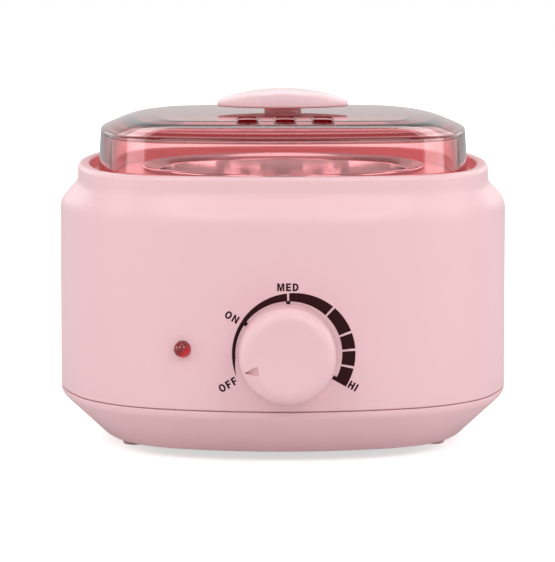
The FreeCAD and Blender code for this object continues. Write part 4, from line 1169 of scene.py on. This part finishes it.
def handle_grip():
    """Grip with an arched top, a rounded top edge and a broken lower edge."""
    arch = arc_radius(HANDLE_LENGTH / 2, HANDLE_TOP - HANDLE_TIP)

    def top(x):
        return HANDLE_Z + HANDLE_TOP - arch + sqrt(arch ** 2 - x ** 2)

    rings = [at_height(handle_outline(1.2 * MM, 0.9), HANDLE_Z)]
    lower, upper = HANDLE_LOWER_ROUND, HANDLE_ROUND
    for a in spread(0, pi / 2, 4) + [pi / 2]:
        outline = handle_outline(lower * (1 - sin(a)), 1)
        rings.append(at_height(outline, HANDLE_Z + lower * (1 - cos(a))))
    stations = [(upper * (1 - cos(a)), upper * (sin(a) - 1), 1)
                for a in spread(0, pi / 2, 8) + [pi / 2]]
    stations += [(upper, 0, share) for share in (0.85, 0.7, 0.5, 0.3, 0.12, 0.0)]
    for inset, fall, share in stations:
        rings.append(np.array([(x, y, top(x) + fall) for x, y in handle_outline(inset, share)]))
    return lofted("lid_grip", rings, capped=(0,))


def lid_handle():
    plan = rounded_oblong(*NECK, NECK[1] / 2 - MM / 100, 12)
    neck = prism("neck", plan, CROWN_Z, HANDLE_Z + NECK_BITE)
    piece = merged(handle_grip(), [neck], "UNION")
    hole = plug(SCREW_RADIUS, CROWN_Z - MM, HANDLE_Z + HANDLE_TIP, 24)
    return cut(piece, in_rows(hole, 2, 1, 2 * HANDLE_SCREW_X, 0))


# ---- Stage, light and camera ----
def rays(nodes):
    """Whether the ray is the camera's, a glossy one or one let through, and its count of glossy bounces."""
    outputs = nodes.node("ShaderNodeLightPath").outputs
    return [Value(nodes, outputs[name])
            for name in ("Is Camera Ray", "Is Glossy Ray", "Is Transmission Ray", "Glossy Depth")]


def worktop():
    """Pale floor that shows as white, keeps the shadow and is dimmer in metal and gloss."""
    reach = 3.0
    corners = [(x * reach, y * reach, 0) for x, y in ((-1, -1), (1, -1), (1, 1), (-1, 1))]
    floor = mesh_piece("worktop", corners, [(0, 1, 2, 3)])
    finish = Finish("worktop", Roughness=0.9, Specular_IOR_Level=0.1, Emission_Color=WHITE)
    camera_ray, glossy_ray, clear_ray, bounces = rays(finish)
    mirrored = bounces.at_most(1.0)
    pale = finish.blended(finish.noise(3.0), (0.87, 0.87, 0.87, 1), (0.89, 0.89, 0.89, 1))
    seen = camera_ray.at_least(glossy_ray.at_least(clear_ray)) * (1.0 - mirrored * 0.7)
    glow = finish.ranged(finish.length(finish.place()), (0.6, 1.0), (0.1, 0.35))
    finish.put(Base_Color=finish.blended(mirrored, pale, (0.3, 0.3, 0.3, 1)), Emission_Strength=seen * glow)
    floor.data.materials.append(FINISHES["worktop"])


def daylight():
    """White surroundings: full strength to the eye and through the lid, dimmer as light and reflected."""
    world = bpy.data.worlds.new("studio")
    bpy.context.scene.world = world
    world.use_nodes = True
    sky = Nodes(world.node_tree)
    back = world.node_tree.nodes["Background"].inputs
    sky.feed(back["Color"], WHITE)
    camera_ray, _, clear_ray, bounces = rays(sky)
    height = sky.parts(sky.out("ShaderNodeTexCoord", output="Generated"))[2]

    def chosen(factor, first, second):
        return sky.out("ShaderNodeMix", {"Factor": factor, "A": first, "B": second})

    level = chosen(clear_ray, 0.36, sky.ranged(height, (1.0, 0.5), (0.02, 0.12)))
    level = chosen(bounces.at_most(1.0), level, sky.ranged(height, (0.72, 0.35), (0.1, 0.6)))
    sky.feed(back["Strength"], camera_ray.at_least(level))


def aimed(name, data, place, target):
    """Lamp or camera at a place, turned to look at a target."""
    piece = as_piece(name, data)
    piece.location = place
    piece.rotation_euler = (Vector(target) - piece.location).to_track_quat("-Z", "Y").to_euler()
    return piece


def soft_box(name, azimuth, height, distance, size, power):
    """Rectangular lamp aimed at the middle of the object; azimuth 0 is in front and 90 at the right."""
    lamp = bpy.data.lights.new(name, "AREA")
    lamp.shape = "RECTANGLE"
    lamp.size, lamp.size_y = size
    lamp.energy = power
    turn = radians(azimuth)
    place = (distance * sin(turn), -distance * cos(turn), height)
    aimed(name, lamp, place, (0, 0, 70 * MM)).visible_camera = False


def camera():
    eye = bpy.data.cameras.new("camera")
    eye.lens = LENS_MM
    eye.sensor_width = 36
    bpy.context.scene.camera = aimed("camera", eye, CAMERA_PLACE, CAMERA_TARGET)


# ---- Putting it together ----
record = frame["record"]
slots = {part["node"]: part["material_slot"] for part in record["subparts"]}
bodies = {node: body for body, nodes in record["behaviour"]["bodies"].items() for node in nodes}

for name, node in frame["nodes"].items():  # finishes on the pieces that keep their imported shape
    if not node.material_slots:
        node.data.materials.append(None)
    for material_slot in node.material_slots:
        material_slot.material = FINISHES[slots[name]]


def make_parts(*makers):
    """Make the pieces that stand for the nodes of their makers' names."""
    for make in makers:
        name = make.__name__
        dressed(smooth_shaded(make(), SMOOTH_ANGLES.get(name, 32)), bodies[name], slots[name], name)


make_parts(upper_housing, base_cover, rubber_feet, base_screws, heating_well, well_screws, wax_pot, knob_cap,
           indicator_lens, mains_inlet, inlet_pins)
dressed(dial_print(), "housing", "black_plastic", finish="print")
make_parts(lid_shell, lid_handle, handle_screws)

worktop()
daylight()
for lamp in LAMPS:
    soft_box(*lamp)
camera()
bpy.context.scene.view_settings.view_transform = "Standard"
